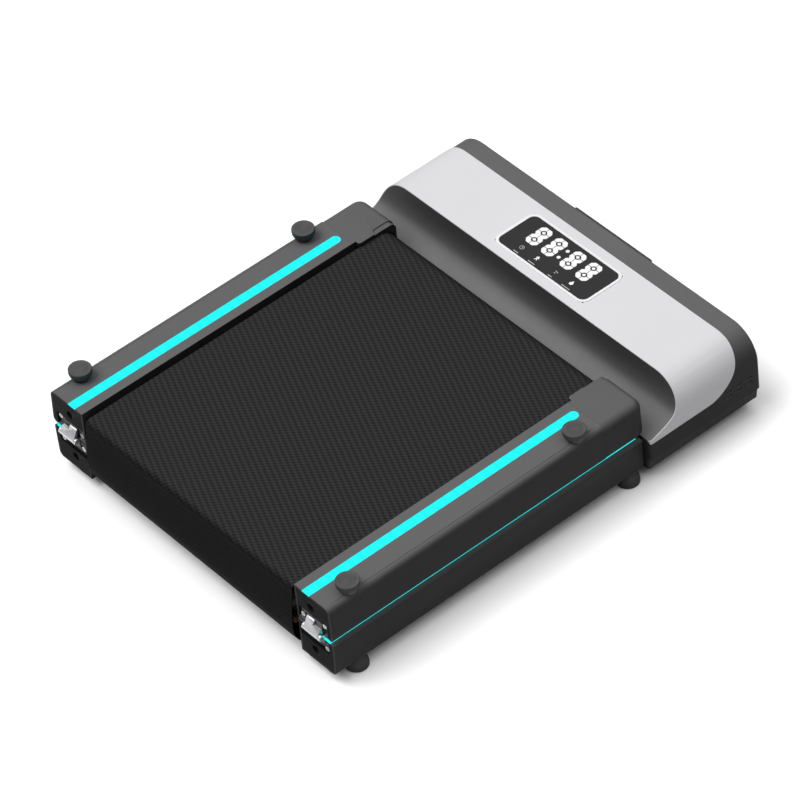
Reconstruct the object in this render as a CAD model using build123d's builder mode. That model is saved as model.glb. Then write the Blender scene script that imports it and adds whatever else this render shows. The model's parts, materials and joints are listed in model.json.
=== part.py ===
from build123d import *
import math
import os

os.makedirs("parts", exist_ok=True)

# Folding walking treadmill, in its folded state. Millimetres, +Z up, floor at Z = 0.
# +Y runs from the fold end to the motor hood, +X is the right-hand side seen from the fold end.
# "station" values are distances from the rails' fold-end faces.

# ---- driving dimensions: the two folding halves ----
FACE_Y = -340.0            # Y of the rails' fold-end faces
FOLD_Y = FACE_Y - 3.0      # fold axis
MID_Z = 72.45              # fold axis height, the middle of the gap between the halves
FOOT_HEIGHT = 16.6
RAIL_HEIGHT = 54.0
HALF_GAP = 1.85            # from the fold plane to each rail
RAIL_INNER = 204.0
RAIL_OUTER = 270.3
RAIL_WALL = 3.0
LOWER_CORNERS = (7.0, 7.0)    # radii of the outer corners, far from and near the fold plane
UPPER_CORNERS = (9.0, 7.0)
LOWER_RAIL_LENGTH = 497.5
UPPER_RAIL_LENGTH = 437.5
CAP_END = 504.5            # station of the end caps' far face
RAIL_FAR_Z = MID_Z - HALF_GAP - RAIL_HEIGHT
RAIL_NEAR_Z = MID_Z - HALF_GAP

# ---- belt, decks and rollers ----
BELT_HALF_WIDTH = 198.5
BELT_THICK = 1.3
ROLLER_RADIUS = 20.0
WRAP_INNER = ROLLER_RADIUS + 0.3
WRAP_OUTER = WRAP_INNER + BELT_THICK
WALK_DROP = 5.95           # the belt's walking face lies this far from the fold plane
ROLLER_Z = MID_Z - WALK_DROP - WRAP_OUTER
FRONT_ROLLER_AT = 532.0
REAR_ROLLER_AT = 477.0
ROLLER_HALF = 200.0
ROLLER_WALL = 2.5
AXLE_RADIUS = 6.0
DECK_THICK = 12.0
DECK_HALF = 194.0
DECK_TOP = MID_Z - WALK_DROP - BELT_THICK - 0.6
BEAM_TOP = DECK_TOP - DECK_THICK - 3.0
BEAM_HEIGHT = 20.0
BEAM_WIDTH = 30.0

# ---- hinges ----
BARREL_RADIUS = 4.5
PIN_RADIUS = 2.5
LEAF_INNER = 207.5
LEAF_OUTER = 259.5
POCKET_X = (LEAF_INNER - 0.5, LEAF_OUTER + 0.5)
KNUCKLE_INNER = 222.5
KNUCKLE_OUTER = 248.5
LUG_THICK = 3.2            # the lower leaf's two lugs, one each side of the upper leaf's knuckle
NOTCH_X = (KNUCKLE_INNER - 4.2, KNUCKLE_OUTER + 4.2)
WALK_STRIP_X = (250.0, 263.2)    # recesses of the light strips beside the walking surface
STRIP_END = 426.5          # centre of the underside light strips' rounded ends
POCKET_DEPTH = 5.5
POCKET_HEIGHT = 22.5
LEAF_THICK = 2.5
HINGE_SCREWS = ((213.6, 11.5), (254.4, 19.0))    # X and distance from the fold plane

# ---- motor hood ----
HOOD_FRONT = 499.0
HOOD_BACK = 684.0
HOOD_HALF = 280.0
HOOD_TOP = 125.2
HOOD_BOTTOM = RAIL_FAR_Z
PAN_TOP = HOOD_BOTTOM + 2.5
SKIRT_TOP = 37.5           # joint between the belly pan and the housing
HOOD_WALL = 2.8
HOOD_CORNER = 45.0
HOOD_RIM = 4.0             # rounding of the hood's front edge
SKIN_THICK = 1.2
SKIN_LOW = 64.6
SKIN_BACK = 654.5
SKIN_CURVE = [(654.3, 122.0), (649.4, 105.9), (642.4, 92.2), (629.6, 77.9), (613.0, 67.6), (594.0, 64.6)]
SCOOP_THICK = 2.0
SCOOP_FACE = [
    (HOOD_FRONT, 69.8), (516.8, 75.3), (532.0, 81.8), (542.0, 89.2), (547.3, 98.2), (551.6, 113.0),
    (553.5, 126.6),
]

# ---- display ----
DISPLAY_AT = 603.6
WINDOW = (164.0, 66.0)
BEZEL = (172.0, 73.0)

# ---- drive ----
MOTOR_AT = 604.0
MOTOR_Z = 62.6
MOTOR_RADIUS = 38.0
BIG_PULLEY = 22.0
SMALL_PULLEY = 8.8
PULLEY_X = (203.0, 219.0)

# ---- feet and wheels ----
FOOT_X = 256.4
LOWER_FEET_AT = (40.5, 480.0)
UPPER_FEET_AT = (40.5, 401.2)
FOOT_RADIUS = 15.2
WHEEL_X = 200.0
WHEEL_AT = 655.0
WHEEL_RADIUS = 18.0
WHEEL_Z = 21.0

# ---- rear panel ----
PANEL_X = (-60.0, 82.0)
PANEL_Z = (66.0, 121.0)
PANEL_BACK = 688.0
INLET = (-26.0, 92.0)
SWITCH = (12.0, 92.0)
RESET = (34.0, 92.0)

FOLD_PLANE = Plane.XY.offset(MID_Z)


def at(station):
    """Y of a point this far from the rails' fold-end faces."""
    return FACE_Y + station


def block(x, y, z, mode=Mode.ADD):
    """A box between two limits on each axis, in the part being built."""
    centre = ((x[0] + x[1]) / 2, (y[0] + y[1]) / 2, (z[0] + z[1]) / 2)
    with Locations(centre):
        Box(x[1] - x[0], y[1] - y[0], z[1] - z[0], mode=mode)


def rod_x(x, y, z, radius, mode=Mode.ADD):
    """A cylinder along X between two X limits."""
    with Locations(Location(((x[0] + x[1]) / 2, y, z), (0, 90, 0))):
        Cylinder(radius, x[1] - x[0], mode=mode)


def rod_y(x, y, z, radius, mode=Mode.ADD):
    """A cylinder along Y between two Y limits."""
    with Locations(Location((x, (y[0] + y[1]) / 2, z), (90, 0, 0))):
        Cylinder(radius, y[1] - y[0], mode=mode)


def rod_z(x, y, z, radius, mode=Mode.ADD):
    """A cylinder along Z between two Z limits."""
    with Locations((x, y, (z[0] + z[1]) / 2)):
        Cylinder(radius, z[1] - z[0], mode=mode)


def across(x_start):
    """A sketch plane with local axes Y and Z, facing +X."""
    return Plane.YZ.offset(x_start)


def along(y_start):
    """A sketch plane with local axes X and Z; a negative extrusion runs towards +Y."""
    return Plane.XZ.offset(-y_start)


def save(piece, label):
    """Labels a finished piece and writes it to its own file."""
    piece.label = label
    export_step(piece, "parts/" + label + ".step")


def rail_section(plane, corners, inset=0.0):
    """The outline of a lower side rail, seen along its length; corners are its two outer radii."""
    with BuildSketch(plane) as section:
        with BuildLine():
            Polyline(
                (RAIL_INNER, RAIL_FAR_Z), (RAIL_OUTER - 2.5, RAIL_FAR_Z), (RAIL_OUTER, RAIL_NEAR_Z),
                (RAIL_INNER, RAIL_NEAR_Z), close=True,
            )
        make_face()
        fillet(section.vertices().group_by(Axis.Y)[0].sort_by(Axis.X)[-1], corners[0])
        fillet(section.vertices().group_by(Axis.Y)[-1].sort_by(Axis.X)[-1], corners[1])
        if inset:
            offset(amount=-inset, kind=Kind.INTERSECTION, mode=Mode.REPLACE)
    return section.sketch


def hood_section(plane, inset=0.0):
    """The outline of the motor hood, seen along its depth; a negative inset makes it larger."""
    with BuildSketch(plane) as section:
        with BuildLine():
            Polyline(
                (-HOOD_HALF, SKIRT_TOP),
                (-HOOD_HALF + 1.5, HOOD_TOP),
                (HOOD_HALF - 1.5, HOOD_TOP),
                (HOOD_HALF, SKIRT_TOP),
                close=True,
            )
        make_face()
        fillet(section.vertices().group_by(Axis.Y)[-1], HOOD_CORNER)
        if inset:
            offset(amount=-inset, kind=Kind.INTERSECTION, mode=Mode.REPLACE)
    return section.sketch


def scoop_line(drop):
    """Points of the concave front face, moved this far down and back along its slope."""
    return [(at(station + drop * 0.75), height - drop * 0.66) for station, height in SCOOP_FACE]


# ======================= lower half: rails =======================
def round_end(far_station, far_radius, near_radius):
    """A block over a rail's end, seen from the side with its two far corners rounded."""
    with BuildSketch(across(RAIL_INNER - 10)) as outline:
        with BuildLine():
            Polyline(
                (at(0), RAIL_FAR_Z), (at(far_station), RAIL_FAR_Z), (at(far_station), RAIL_NEAR_Z),
                (at(0), RAIL_NEAR_Z), close=True,
            )
        make_face()
        fillet(outline.vertices().group_by(Axis.X)[-1].sort_by(Axis.Y)[0], far_radius)
        fillet(outline.vertices().group_by(Axis.X)[-1].sort_by(Axis.Y)[-1], near_radius)
    return extrude(outline.sketch, amount=RAIL_OUTER - RAIL_INNER + 20, mode=Mode.PRIVATE)


def round_plan(far_station, radius):
    """A block over a rail's end, seen from above with its outer far corner rounded."""
    with BuildSketch(Plane.XY) as outline:
        with BuildLine():
            Polyline(
                (RAIL_INNER - 10, at(0)), (RAIL_OUTER, at(0)), (RAIL_OUTER, at(far_station)),
                (RAIL_INNER - 10, at(far_station)), close=True,
            )
        make_face()
        fillet(outline.vertices().group_by(Axis.Y)[-1].sort_by(Axis.X)[-1], radius)
    return extrude(outline.sketch, amount=RAIL_NEAR_Z, mode=Mode.PRIVATE)


def rail(length, corners, feet):
    """A hollow extruded side rail of the lower half, right-hand side."""
    with BuildPart() as extrusion:
        add(extrude(rail_section(along(at(0)), corners), amount=-length))
        add(extrude(rail_section(along(at(0)), corners, RAIL_WALL), amount=-length), mode=Mode.SUBTRACT)
        block(NOTCH_X, (at(0), at(POCKET_DEPTH)), (RAIL_NEAR_Z - 4, RAIL_NEAR_Z), Mode.SUBTRACT)
        recess_z = (RAIL_NEAR_Z - 1.2, RAIL_NEAR_Z)
        block(WALK_STRIP_X, (at(6.5), at(length)), recess_z, Mode.SUBTRACT)
        block((NOTCH_X[1], WALK_STRIP_X[1]), (at(0), at(6.5)), recess_z, Mode.SUBTRACT)
        block((218, 232), (at(0), at(STRIP_END)), (RAIL_FAR_Z, RAIL_FAR_Z + 1.5), Mode.SUBTRACT)
        rod_z(225, at(STRIP_END), (RAIL_FAR_Z, RAIL_FAR_Z + 1.5), 7.0, Mode.SUBTRACT)
        for station in feet:
            rod_z(FOOT_X, at(station), (RAIL_FAR_Z - 1, RAIL_FAR_Z + 6), 3.1, Mode.SUBTRACT)
    return extrusion.part


with BuildPart() as rail_lower_right:
    add(rail(LOWER_RAIL_LENGTH, LOWER_CORNERS, LOWER_FEET_AT))
    with BuildPart(mode=Mode.PRIVATE) as end_wall:
        add(extrude(rail_section(along(at(LOWER_RAIL_LENGTH - 8)), LOWER_CORNERS, RAIL_WALL), amount=-8))
        rod_y(236, (at(LOWER_RAIL_LENGTH - 9), at(LOWER_RAIL_LENGTH + 1)), 40.0, 12.0, Mode.SUBTRACT)
    add(end_wall.part)
    add(round_end(LOWER_RAIL_LENGTH, 3.0, 7.0), mode=Mode.INTERSECT)
    add(round_plan(LOWER_RAIL_LENGTH, 4.0), mode=Mode.INTERSECT)
save(rail_lower_right.part, "rail_lower_right")
save(mirror(rail_lower_right.part, about=Plane.YZ), "rail_lower_left")
rail_upper_right = mirror(rail(UPPER_RAIL_LENGTH, UPPER_CORNERS, UPPER_FEET_AT), about=FOLD_PLANE)
save(rail_upper_right, "rail_upper_right")
save(mirror(rail_upper_right, about=Plane.YZ), "rail_upper_left")


def rail_plug(corners):
    """The moulded blocks that close the rails' fold ends and hold the hinge leaves."""
    with BuildPart() as plug:
        add(extrude(rail_section(along(at(0)), corners, RAIL_WALL + 0.05), amount=-16))
        low = RAIL_NEAR_Z - POCKET_HEIGHT
        block(POCKET_X, (at(0), at(POCKET_DEPTH)), (low, RAIL_NEAR_Z), Mode.SUBTRACT)
        rod_y(232, (at(-1), at(9)), 36.8, 5.8, Mode.SUBTRACT)
        for x, drop in HINGE_SCREWS:
            rod_y(x, (at(POCKET_DEPTH), at(14)), MID_Z - drop, 1.8, Mode.SUBTRACT)
        mirror(about=Plane.YZ)
    return plug.part


save(rail_plug(LOWER_CORNERS), "rail_plugs_lower")
save(mirror(rail_plug(UPPER_CORNERS), about=FOLD_PLANE), "rail_plugs_upper")

# ======================= light strips =======================
with BuildPart() as strips_under:
    block((218.1, 231.9), (at(0), at(STRIP_END)), (RAIL_FAR_Z, RAIL_FAR_Z + 1.5))
    rod_z(225, at(STRIP_END), (RAIL_FAR_Z, RAIL_FAR_Z + 1.5), 6.9)
    mirror(about=Plane.YZ)


def walk_strips(length):
    """The light diffusers beside the walking surface, slightly proud of the rails."""
    with BuildPart() as strips:
        x = (WALK_STRIP_X[0] + 0.1, WALK_STRIP_X[1] - 0.1)
        z = (RAIL_NEAR_Z - 1.2, RAIL_NEAR_Z + 0.6)
        block(x, (at(6.6), at(length)), z)
        block((NOTCH_X[1] + 0.1, x[1]), (at(0), at(6.6)), z)
        mirror(about=Plane.YZ)
    return strips.part


def light_strips(walk_length):
    """The four light diffusers of one half, at the lower half's height."""
    with BuildPart() as strips:
        add(strips_under.part)
        add(walk_strips(walk_length))
    return strips.part


save(light_strips(LOWER_RAIL_LENGTH - 8), "light_strips_lower")
save(mirror(light_strips(UPPER_RAIL_LENGTH - 0.5), about=FOLD_PLANE), "light_strips_upper")

# ======================= hinges =======================
# The upper leaves have the wide middle knuckle, the lower leaves a lug on each side of it.
LEAF_BACK = at(POCKET_DEPTH)
LEAF_FRONT = LEAF_BACK - LEAF_THICK
UP = MID_Z + HALF_GAP + POCKET_HEIGHT - 0.4
PLATE_UP = MID_Z + 7.2


def finish_leaf(stretches, hole_radius):
    """Adds the screwed plate and the knuckles' barrel, bores both, and mirrors the leaf."""
    block((LEAF_INNER, LEAF_OUTER), (LEAF_FRONT, LEAF_BACK), (PLATE_UP, UP))
    for x, rise in HINGE_SCREWS:
        rod_y(x, (LEAF_FRONT - 1, LEAF_BACK + 1), MID_Z + rise, 1.8, Mode.SUBTRACT)
    for x in stretches:
        rod_x(x, FOLD_Y, MID_Z, BARREL_RADIUS)
    rod_x((LEAF_INNER - 1, LEAF_OUTER + 1), FOLD_Y, MID_Z, hole_radius, Mode.SUBTRACT)
    mirror(about=Plane.YZ)


def hinge_web(x, profile):
    """A web between plate and barrel, over one stretch of X."""
    with BuildSketch(across(x[0])) as web:
        with BuildLine():
            Polyline(*profile, close=True)
        make_face()
    extrude(web.sketch, amount=x[1] - x[0])


with BuildPart() as hinge_leaf_upper:
    middle = (KNUCKLE_INNER, KNUCKLE_OUTER)
    hinge_web(middle, [
        (LEAF_BACK, UP), (LEAF_FRONT, UP), (LEAF_FRONT, MID_Z + 17.6), (at(0), MID_Z + 16.1),
        (FOLD_Y - 4.4, MID_Z + 1.0), (FOLD_Y, MID_Z), (FOLD_Y + 5.0, MID_Z + 2.6), (LEAF_BACK, MID_Z + 5.0),
    ])
    ledge_y = (FOLD_Y - 10, at(1.5))
    block((KNUCKLE_INNER + 13, KNUCKLE_OUTER + 1), ledge_y, (MID_Z + 10.0, MID_Z + 18), Mode.SUBTRACT)
    finish_leaf([middle], PIN_RADIUS + 0.05)
save(hinge_leaf_upper.part, "hinge_leaves_upper")

with BuildPart() as hinge_leaf_lower:
    lugs = [
        (KNUCKLE_INNER - 0.4 - LUG_THICK, KNUCKLE_INNER - 0.4),
        (KNUCKLE_OUTER + 0.4, KNUCKLE_OUTER + 0.4 + LUG_THICK),
    ]
    for x in lugs:
        hinge_web(x, [
            (LEAF_BACK, MID_Z + 12.5), (LEAF_FRONT, MID_Z + 12.5), (FOLD_Y - 4.0, MID_Z + 2.1),
            (FOLD_Y, MID_Z), (FOLD_Y + 5.0, MID_Z + 2.6), (LEAF_BACK, MID_Z + 5.0),
        ])
    finish_leaf(lugs, PIN_RADIUS)
save(mirror(hinge_leaf_lower.part, about=FOLD_PLANE), "hinge_leaves_lower")

with BuildPart() as hinge_pins:
    rod_x((KNUCKLE_INNER - 3.6, KNUCKLE_OUTER + 3.6), FOLD_Y, MID_Z, PIN_RADIUS)
    mirror(about=Plane.YZ)
save(hinge_pins.part, "hinge_pins")

with BuildPart() as hinge_screws:
    for x, rise in HINGE_SCREWS:
        z = MID_Z + rise
        rod_y(x, (LEAF_FRONT, at(13)), z, 1.7)
        rod_y(x, (LEAF_FRONT - 1.6, LEAF_FRONT), z, 3.4)
        slot_y = (LEAF_FRONT - 1.7, LEAF_FRONT - 0.8)
        block((x - 2.6, x + 2.6), slot_y, (z - 0.5, z + 0.5), Mode.SUBTRACT)
        block((x - 0.5, x + 0.5), slot_y, (z - 2.6, z + 2.6), Mode.SUBTRACT)
    mirror(about=Plane.YZ)

# ======================= feet =======================
def feet(stations, corners):
    """Round rubber feet of the lower half, ring-grooved, whose bases follow the rails' rounded edge."""
    with BuildPart() as group:
        for station in stations:
            centre = Plane((FOOT_X, at(station), 0), x_dir=(1, 0, 0), z_dir=(0, -1, 0))
            with BuildSketch(centre):
                with BuildLine():
                    Polyline(
                        (0, 0), (FOOT_RADIUS - 1.2, 0), (FOOT_RADIUS, 1.2), (FOOT_RADIUS, 6.0),
                        (14.6, 8.0), (12.8, 11.5), (10.6, 14.4), (10.0, FOOT_HEIGHT),
                        (10.0, FOOT_HEIGHT + 7), (3.2, FOOT_HEIGHT + 7), (3.2, 5.0), (0, 5.0), close=True,
                    )
                make_face()
            revolve(axis=Axis((FOOT_X, at(station), 0), (0, 0, 1)))
            for ring in (2.3, 4.6, 6.5, 8.4, 10.5):
                with BuildSketch(Plane.XY):
                    with Locations((FOOT_X, at(station))):
                        Circle(ring + 0.35)
                        Circle(ring - 0.35, mode=Mode.SUBTRACT)
                extrude(amount=0.5, mode=Mode.SUBTRACT)
        extrude(rail_section(along(at(0)), corners), amount=-LOWER_RAIL_LENGTH, mode=Mode.SUBTRACT)
        mirror(about=Plane.YZ)
    return group.part


def foot_studs(stations):
    """The steel studs that screw the feet to the rails."""
    with BuildPart() as group:
        for station in stations:
            rod_z(FOOT_X, at(station), (6.0, RAIL_FAR_Z + 9.0), 3.0)
            rod_z(FOOT_X, at(station), (RAIL_FAR_Z + RAIL_WALL + 1.6, RAIL_FAR_Z + 8.0), 4.6)
        mirror(about=Plane.YZ)
    return group.part


save(feet(LOWER_FEET_AT, LOWER_CORNERS), "feet_lower")
save(mirror(feet(UPPER_FEET_AT, UPPER_CORNERS), about=FOLD_PLANE), "feet_upper")

with BuildPart() as fasteners_lower:
    add(foot_studs(LOWER_FEET_AT))
    add(mirror(hinge_screws.part, about=FOLD_PLANE))
save(fasteners_lower.part, "fasteners_lower")

with BuildPart() as fold_bumpers:
    for station in (70.0, 420.0):
        rod_z(238, at(station), (RAIL_NEAR_Z, RAIL_NEAR_Z + 2 * HALF_GAP - 0.1), 6.0)
    mirror(about=Plane.YZ)
save(fold_bumpers.part, "fold_bumpers")


# ======================= decks and cross members =======================
def deck(far_station):
    """A walking board of the lower half, with eased ends."""
    with BuildPart() as board:
        block((-DECK_HALF, DECK_HALF), (at(1.5), at(far_station)), (DECK_TOP - DECK_THICK, DECK_TOP))
        chamfer(board.faces().sort_by(Axis.Z)[-1].edges().filter_by(Axis.X), 2.0)
    return board.part


def beams(stations):
    """Steel cross members that carry the deck between the rails."""
    with BuildPart() as group:
        for station in stations:
            y = (at(station - BEAM_WIDTH / 2), at(station + BEAM_WIDTH / 2))
            block((-RAIL_INNER, RAIL_INNER), y, (BEAM_TOP - BEAM_HEIGHT, BEAM_TOP))
            inner = (y[0] + 2, y[1] - 2)
            block((-RAIL_INNER, RAIL_INNER), inner, (BEAM_TOP - BEAM_HEIGHT + 2, BEAM_TOP - 2), Mode.SUBTRACT)
    return group.part


def cushions(stations):
    """Rubber pads between the cross members and the deck."""
    with BuildPart() as group:
        for station in stations:
            for x in (-160, -55, 55, 160):
                rod_z(x, at(station), (BEAM_TOP, BEAM_TOP + 3.0), 11.0)
    return group.part


LOWER_BEAMS = (60.0, 250.0, 450.0)
UPPER_BEAMS = (60.0, 240.0, 420.0)
save(deck(492.0), "deck_lower")
save(mirror(deck(448.0), about=FOLD_PLANE), "deck_upper")
save(beams(LOWER_BEAMS), "cross_members_lower")
save(mirror(beams(UPPER_BEAMS), about=FOLD_PLANE), "cross_members_upper")
save(cushions(LOWER_BEAMS), "deck_cushions_lower")
save(mirror(cushions(UPPER_BEAMS), about=FOLD_PLANE), "deck_cushions_upper")


# ======================= running belt =======================
def belt_half(roller_at, near_station):
    """The belt of a lower half: walking run, wrap round the roller, return run. Fold end open."""
    walk_z = ROLLER_Z + WRAP_OUTER
    return_z = ROLLER_Z - WRAP_OUTER
    with BuildPart() as half:
        with BuildSketch(across(-BELT_HALF_WIDTH)):
            with BuildLine():
                Polyline((at(1.0), walk_z), (at(roller_at), walk_z))
                ThreePointArc(
                    (at(roller_at), walk_z), (at(roller_at + WRAP_OUTER), ROLLER_Z), (at(roller_at), return_z)
                )
                Line((at(roller_at), return_z), (at(near_station), return_z))
                Line((at(near_station), return_z), (at(near_station), return_z + BELT_THICK))
                Line((at(near_station), return_z + BELT_THICK), (at(roller_at), return_z + BELT_THICK))
                ThreePointArc(
                    (at(roller_at), return_z + BELT_THICK),
                    (at(roller_at + WRAP_INNER), ROLLER_Z),
                    (at(roller_at), walk_z - BELT_THICK),
                )
                Line((at(roller_at), walk_z - BELT_THICK), (at(1.0), walk_z - BELT_THICK))
                Line((at(1.0), walk_z - BELT_THICK), (at(1.0), walk_z))
            make_face()
        extrude(amount=2 * BELT_HALF_WIDTH)
    return half.part


RETURN_Z = ROLLER_Z - WRAP_OUTER
TURN_RADIUS = 9.0
save(belt_half(FRONT_ROLLER_AT, TURN_RADIUS - 1.0), "belt_lower")

with BuildPart() as belt_upper:
    add(belt_half(REAR_ROLLER_AT, TURN_RADIUS - 1.0))
    with BuildSketch(across(-BELT_HALF_WIDTH)):
        with Locations((at(TURN_RADIUS - 1.0), RETURN_Z + TURN_RADIUS)):
            Circle(TURN_RADIUS)
            Circle(TURN_RADIUS - BELT_THICK, mode=Mode.SUBTRACT)
        corner = (at(TURN_RADIUS - 1.0) - TURN_RADIUS / 2, RETURN_Z + TURN_RADIUS / 2)
        with Locations(corner):
            Rectangle(TURN_RADIUS, TURN_RADIUS, mode=Mode.INTERSECT)
    extrude(amount=2 * BELT_HALF_WIDTH)
save(mirror(belt_upper.part, about=FOLD_PLANE), "belt_upper")

# The stretch that hangs over the fold end, from the upper turn down and under to the return run.
UPPER_TURN_Z = 2 * MID_Z - RETURN_Z - TURN_RADIUS
CURTAIN = (-6.2, MID_Z - 20.0)    # station and height where the hanging stretch is furthest out
with BuildPart() as belt_fold:
    with BuildSketch(across(-BELT_HALF_WIDTH)):
        with BuildLine():
            for inset in (0.0, BELT_THICK):
                top = (at(inset - 1.0), UPPER_TURN_Z)
                out = (at(inset + CURTAIN[0]), CURTAIN[1])
                end = (at(TURN_RADIUS - 1.0), RETURN_Z + inset)
                Bezier(top, (top[0], top[1] - 14), (out[0], out[1] + 24), out)
                Bezier(out, (out[0], out[1] - 16), (end[0] - 7, end[1]), end)
            Line((at(-1.0), UPPER_TURN_Z), (at(BELT_THICK - 1.0), UPPER_TURN_Z))
            Line((at(TURN_RADIUS - 1.0), RETURN_Z), (at(TURN_RADIUS - 1.0), RETURN_Z + BELT_THICK))
        make_face()
    extrude(amount=2 * BELT_HALF_WIDTH)
save(belt_fold.part, "belt_fold")


# ======================= rollers =======================
def roller(station):
    """A roller tube of the lower half's height."""
    with BuildPart() as tube:
        rod_x((-ROLLER_HALF, ROLLER_HALF), at(station), ROLLER_Z, ROLLER_RADIUS)
        rod_x((-ROLLER_HALF, ROLLER_HALF), at(station), ROLLER_Z, ROLLER_RADIUS - ROLLER_WALL, Mode.SUBTRACT)
    return tube.part


def bearings(station):
    """The ball bearings pressed into both ends of a roller, turning on its fixed axle."""
    with BuildPart() as pair:
        x = (ROLLER_HALF - 13, ROLLER_HALF - 1)
        rod_x(x, at(station), ROLLER_Z, ROLLER_RADIUS - ROLLER_WALL)
        for face in (x[0], x[1] - 1):
            rod_x((face, face + 1), at(station), ROLLER_Z, 14.5, Mode.SUBTRACT)
            rod_x((face, face + 1), at(station), ROLLER_Z, 9.0)
        rod_x((x[0] - 1, x[1] + 1), at(station), ROLLER_Z, AXLE_RADIUS + 0.06, Mode.SUBTRACT)
        mirror(about=Plane.YZ)
    return pair.part


save(roller(FRONT_ROLLER_AT), "front_roller_tube")
save(bearings(FRONT_ROLLER_AT), "front_roller_bearings")
save(mirror(roller(REAR_ROLLER_AT), about=FOLD_PLANE), "rear_roller_tube")
save(mirror(bearings(REAR_ROLLER_AT), about=FOLD_PLANE), "rear_roller_bearings")

with BuildPart() as front_axle:
    rod_x((-236, 236), at(FRONT_ROLLER_AT), ROLLER_Z, AXLE_RADIUS)
    chamfer(front_axle.edges().filter_by(GeomType.CIRCLE), 0.8)
save(front_axle.part, "front_axle")

with BuildPart() as rear_axle:
    rod_x((-232, 232), at(REAR_ROLLER_AT), 2 * MID_Z - ROLLER_Z, AXLE_RADIUS)
    chamfer(rear_axle.edges().filter_by(GeomType.CIRCLE), 0.8)
save(rear_axle.part, "rear_axle")

with BuildPart() as front_brackets:
    bracket_y = (at(FRONT_ROLLER_AT - 13), at(FRONT_ROLLER_AT + 13))
    block((226, 234), bracket_y, (PAN_TOP, ROLLER_Z + 14))
    block((226, 252), bracket_y, (PAN_TOP, PAN_TOP + 4))
    rod_x((225, 235), at(FRONT_ROLLER_AT), ROLLER_Z, AXLE_RADIUS, Mode.SUBTRACT)
    mirror(about=Plane.YZ)
save(front_brackets.part, "front_axle_brackets")


def grooved_pulley(x, y, z, radius, ribs):
    """A ribbed-belt pulley along X, inside the part being built."""
    rod_x(x, y, z, radius)
    pitch = (x[1] - x[0]) / (ribs + 1)
    for rib in range(ribs):
        middle = x[0] + pitch * (rib + 1)
        with BuildSketch(along(y)) as groove:
            with BuildLine():
                Polyline(
                    (middle - 0.7, z + radius + 0.1), (middle + 0.7, z + radius + 0.1),
                    (middle, z + radius - 0.9), close=True,
                )
            make_face()
        revolve(groove.sketch, axis=Axis((0, y, z), (1, 0, 0)), mode=Mode.SUBTRACT)


with BuildPart() as drive_pulley:
    grooved_pulley(PULLEY_X, at(FRONT_ROLLER_AT), ROLLER_Z, BIG_PULLEY, 6)
    rod_x((ROLLER_HALF, PULLEY_X[0]), at(FRONT_ROLLER_AT), ROLLER_Z, ROLLER_RADIUS - 1)
    bore_x = (ROLLER_HALF - 1, PULLEY_X[1] + 1)
    rod_x(bore_x, at(FRONT_ROLLER_AT), ROLLER_Z, AXLE_RADIUS + 0.06, Mode.SUBTRACT)
save(drive_pulley.part, "drive_pulley")

# ======================= motor =======================
MOTOR_X = (44.0, 166.0)
with BuildPart() as motor_body:
    rod_x(MOTOR_X, at(MOTOR_AT), MOTOR_Z, MOTOR_RADIUS)
    chamfer(motor_body.edges().filter_by(GeomType.CIRCLE), 2.5)
    for x in (62.0, 150.0):
        rod_x((x, x + 2), at(MOTOR_AT), MOTOR_Z, MOTOR_RADIUS + 1, Mode.SUBTRACT)
        rod_x((x, x + 2), at(MOTOR_AT), MOTOR_Z, MOTOR_RADIUS - 1)
    rod_x((150, MOTOR_X[1] + 1), at(MOTOR_AT), MOTOR_Z, 8.0, Mode.SUBTRACT)
save(motor_body.part, "motor_body")

with BuildPart() as motor_rotor:
    rod_x((152, PULLEY_X[1] + 4), at(MOTOR_AT), MOTOR_Z, 5.0)
    rod_x((153, 162), at(MOTOR_AT), MOTOR_Z, 7.5)
save(motor_rotor.part, "motor_shaft")

with BuildPart() as flywheel:
    rod_x((172, 186), at(MOTOR_AT), MOTOR_Z, 36.0)
    rod_x((171, 187), at(MOTOR_AT), MOTOR_Z, 5.0, Mode.SUBTRACT)
    with BuildSketch(across(171)):
        with Locations((at(MOTOR_AT), MOTOR_Z)):
            with PolarLocations(20.0, 6):
                Circle(5.5)
    extrude(amount=16, mode=Mode.SUBTRACT)
save(flywheel.part, "flywheel")

with BuildPart() as motor_pulley:
    grooved_pulley(PULLEY_X, at(MOTOR_AT), MOTOR_Z, SMALL_PULLEY, 6)
    rod_x((PULLEY_X[0] - 1, PULLEY_X[1] + 1), at(MOTOR_AT), MOTOR_Z, 5.0, Mode.SUBTRACT)
save(motor_pulley.part, "motor_pulley")


def belt_outline(gap):
    """The outline round both pulleys, this far outside them."""
    with BuildSketch(across(PULLEY_X[0] + 1)) as outline:
        with Locations((at(FRONT_ROLLER_AT), ROLLER_Z)):
            Circle(BIG_PULLEY + gap)
        with Locations((at(MOTOR_AT), MOTOR_Z)):
            Circle(SMALL_PULLEY + gap)
        make_hull()
    return outline.sketch


with BuildPart() as drive_belt:
    add(extrude(belt_outline(2.5), amount=PULLEY_X[1] - PULLEY_X[0] - 2))
    add(extrude(belt_outline(0.3), amount=PULLEY_X[1] - PULLEY_X[0] - 2), mode=Mode.SUBTRACT)
save(drive_belt.part, "drive_belt")

with BuildPart() as motor_cradle:
    block((70, 142), (at(MOTOR_AT - 30), at(MOTOR_AT + 30)), (PAN_TOP, MOTOR_Z - 12))
    rod_x((69, 143), at(MOTOR_AT), MOTOR_Z, MOTOR_RADIUS + 0.05, Mode.SUBTRACT)
    block((84, 128), (at(MOTOR_AT - 31), at(MOTOR_AT + 31)), (PAN_TOP + 4, MOTOR_Z), Mode.SUBTRACT)
save(motor_cradle.part, "motor_cradle")

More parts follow.
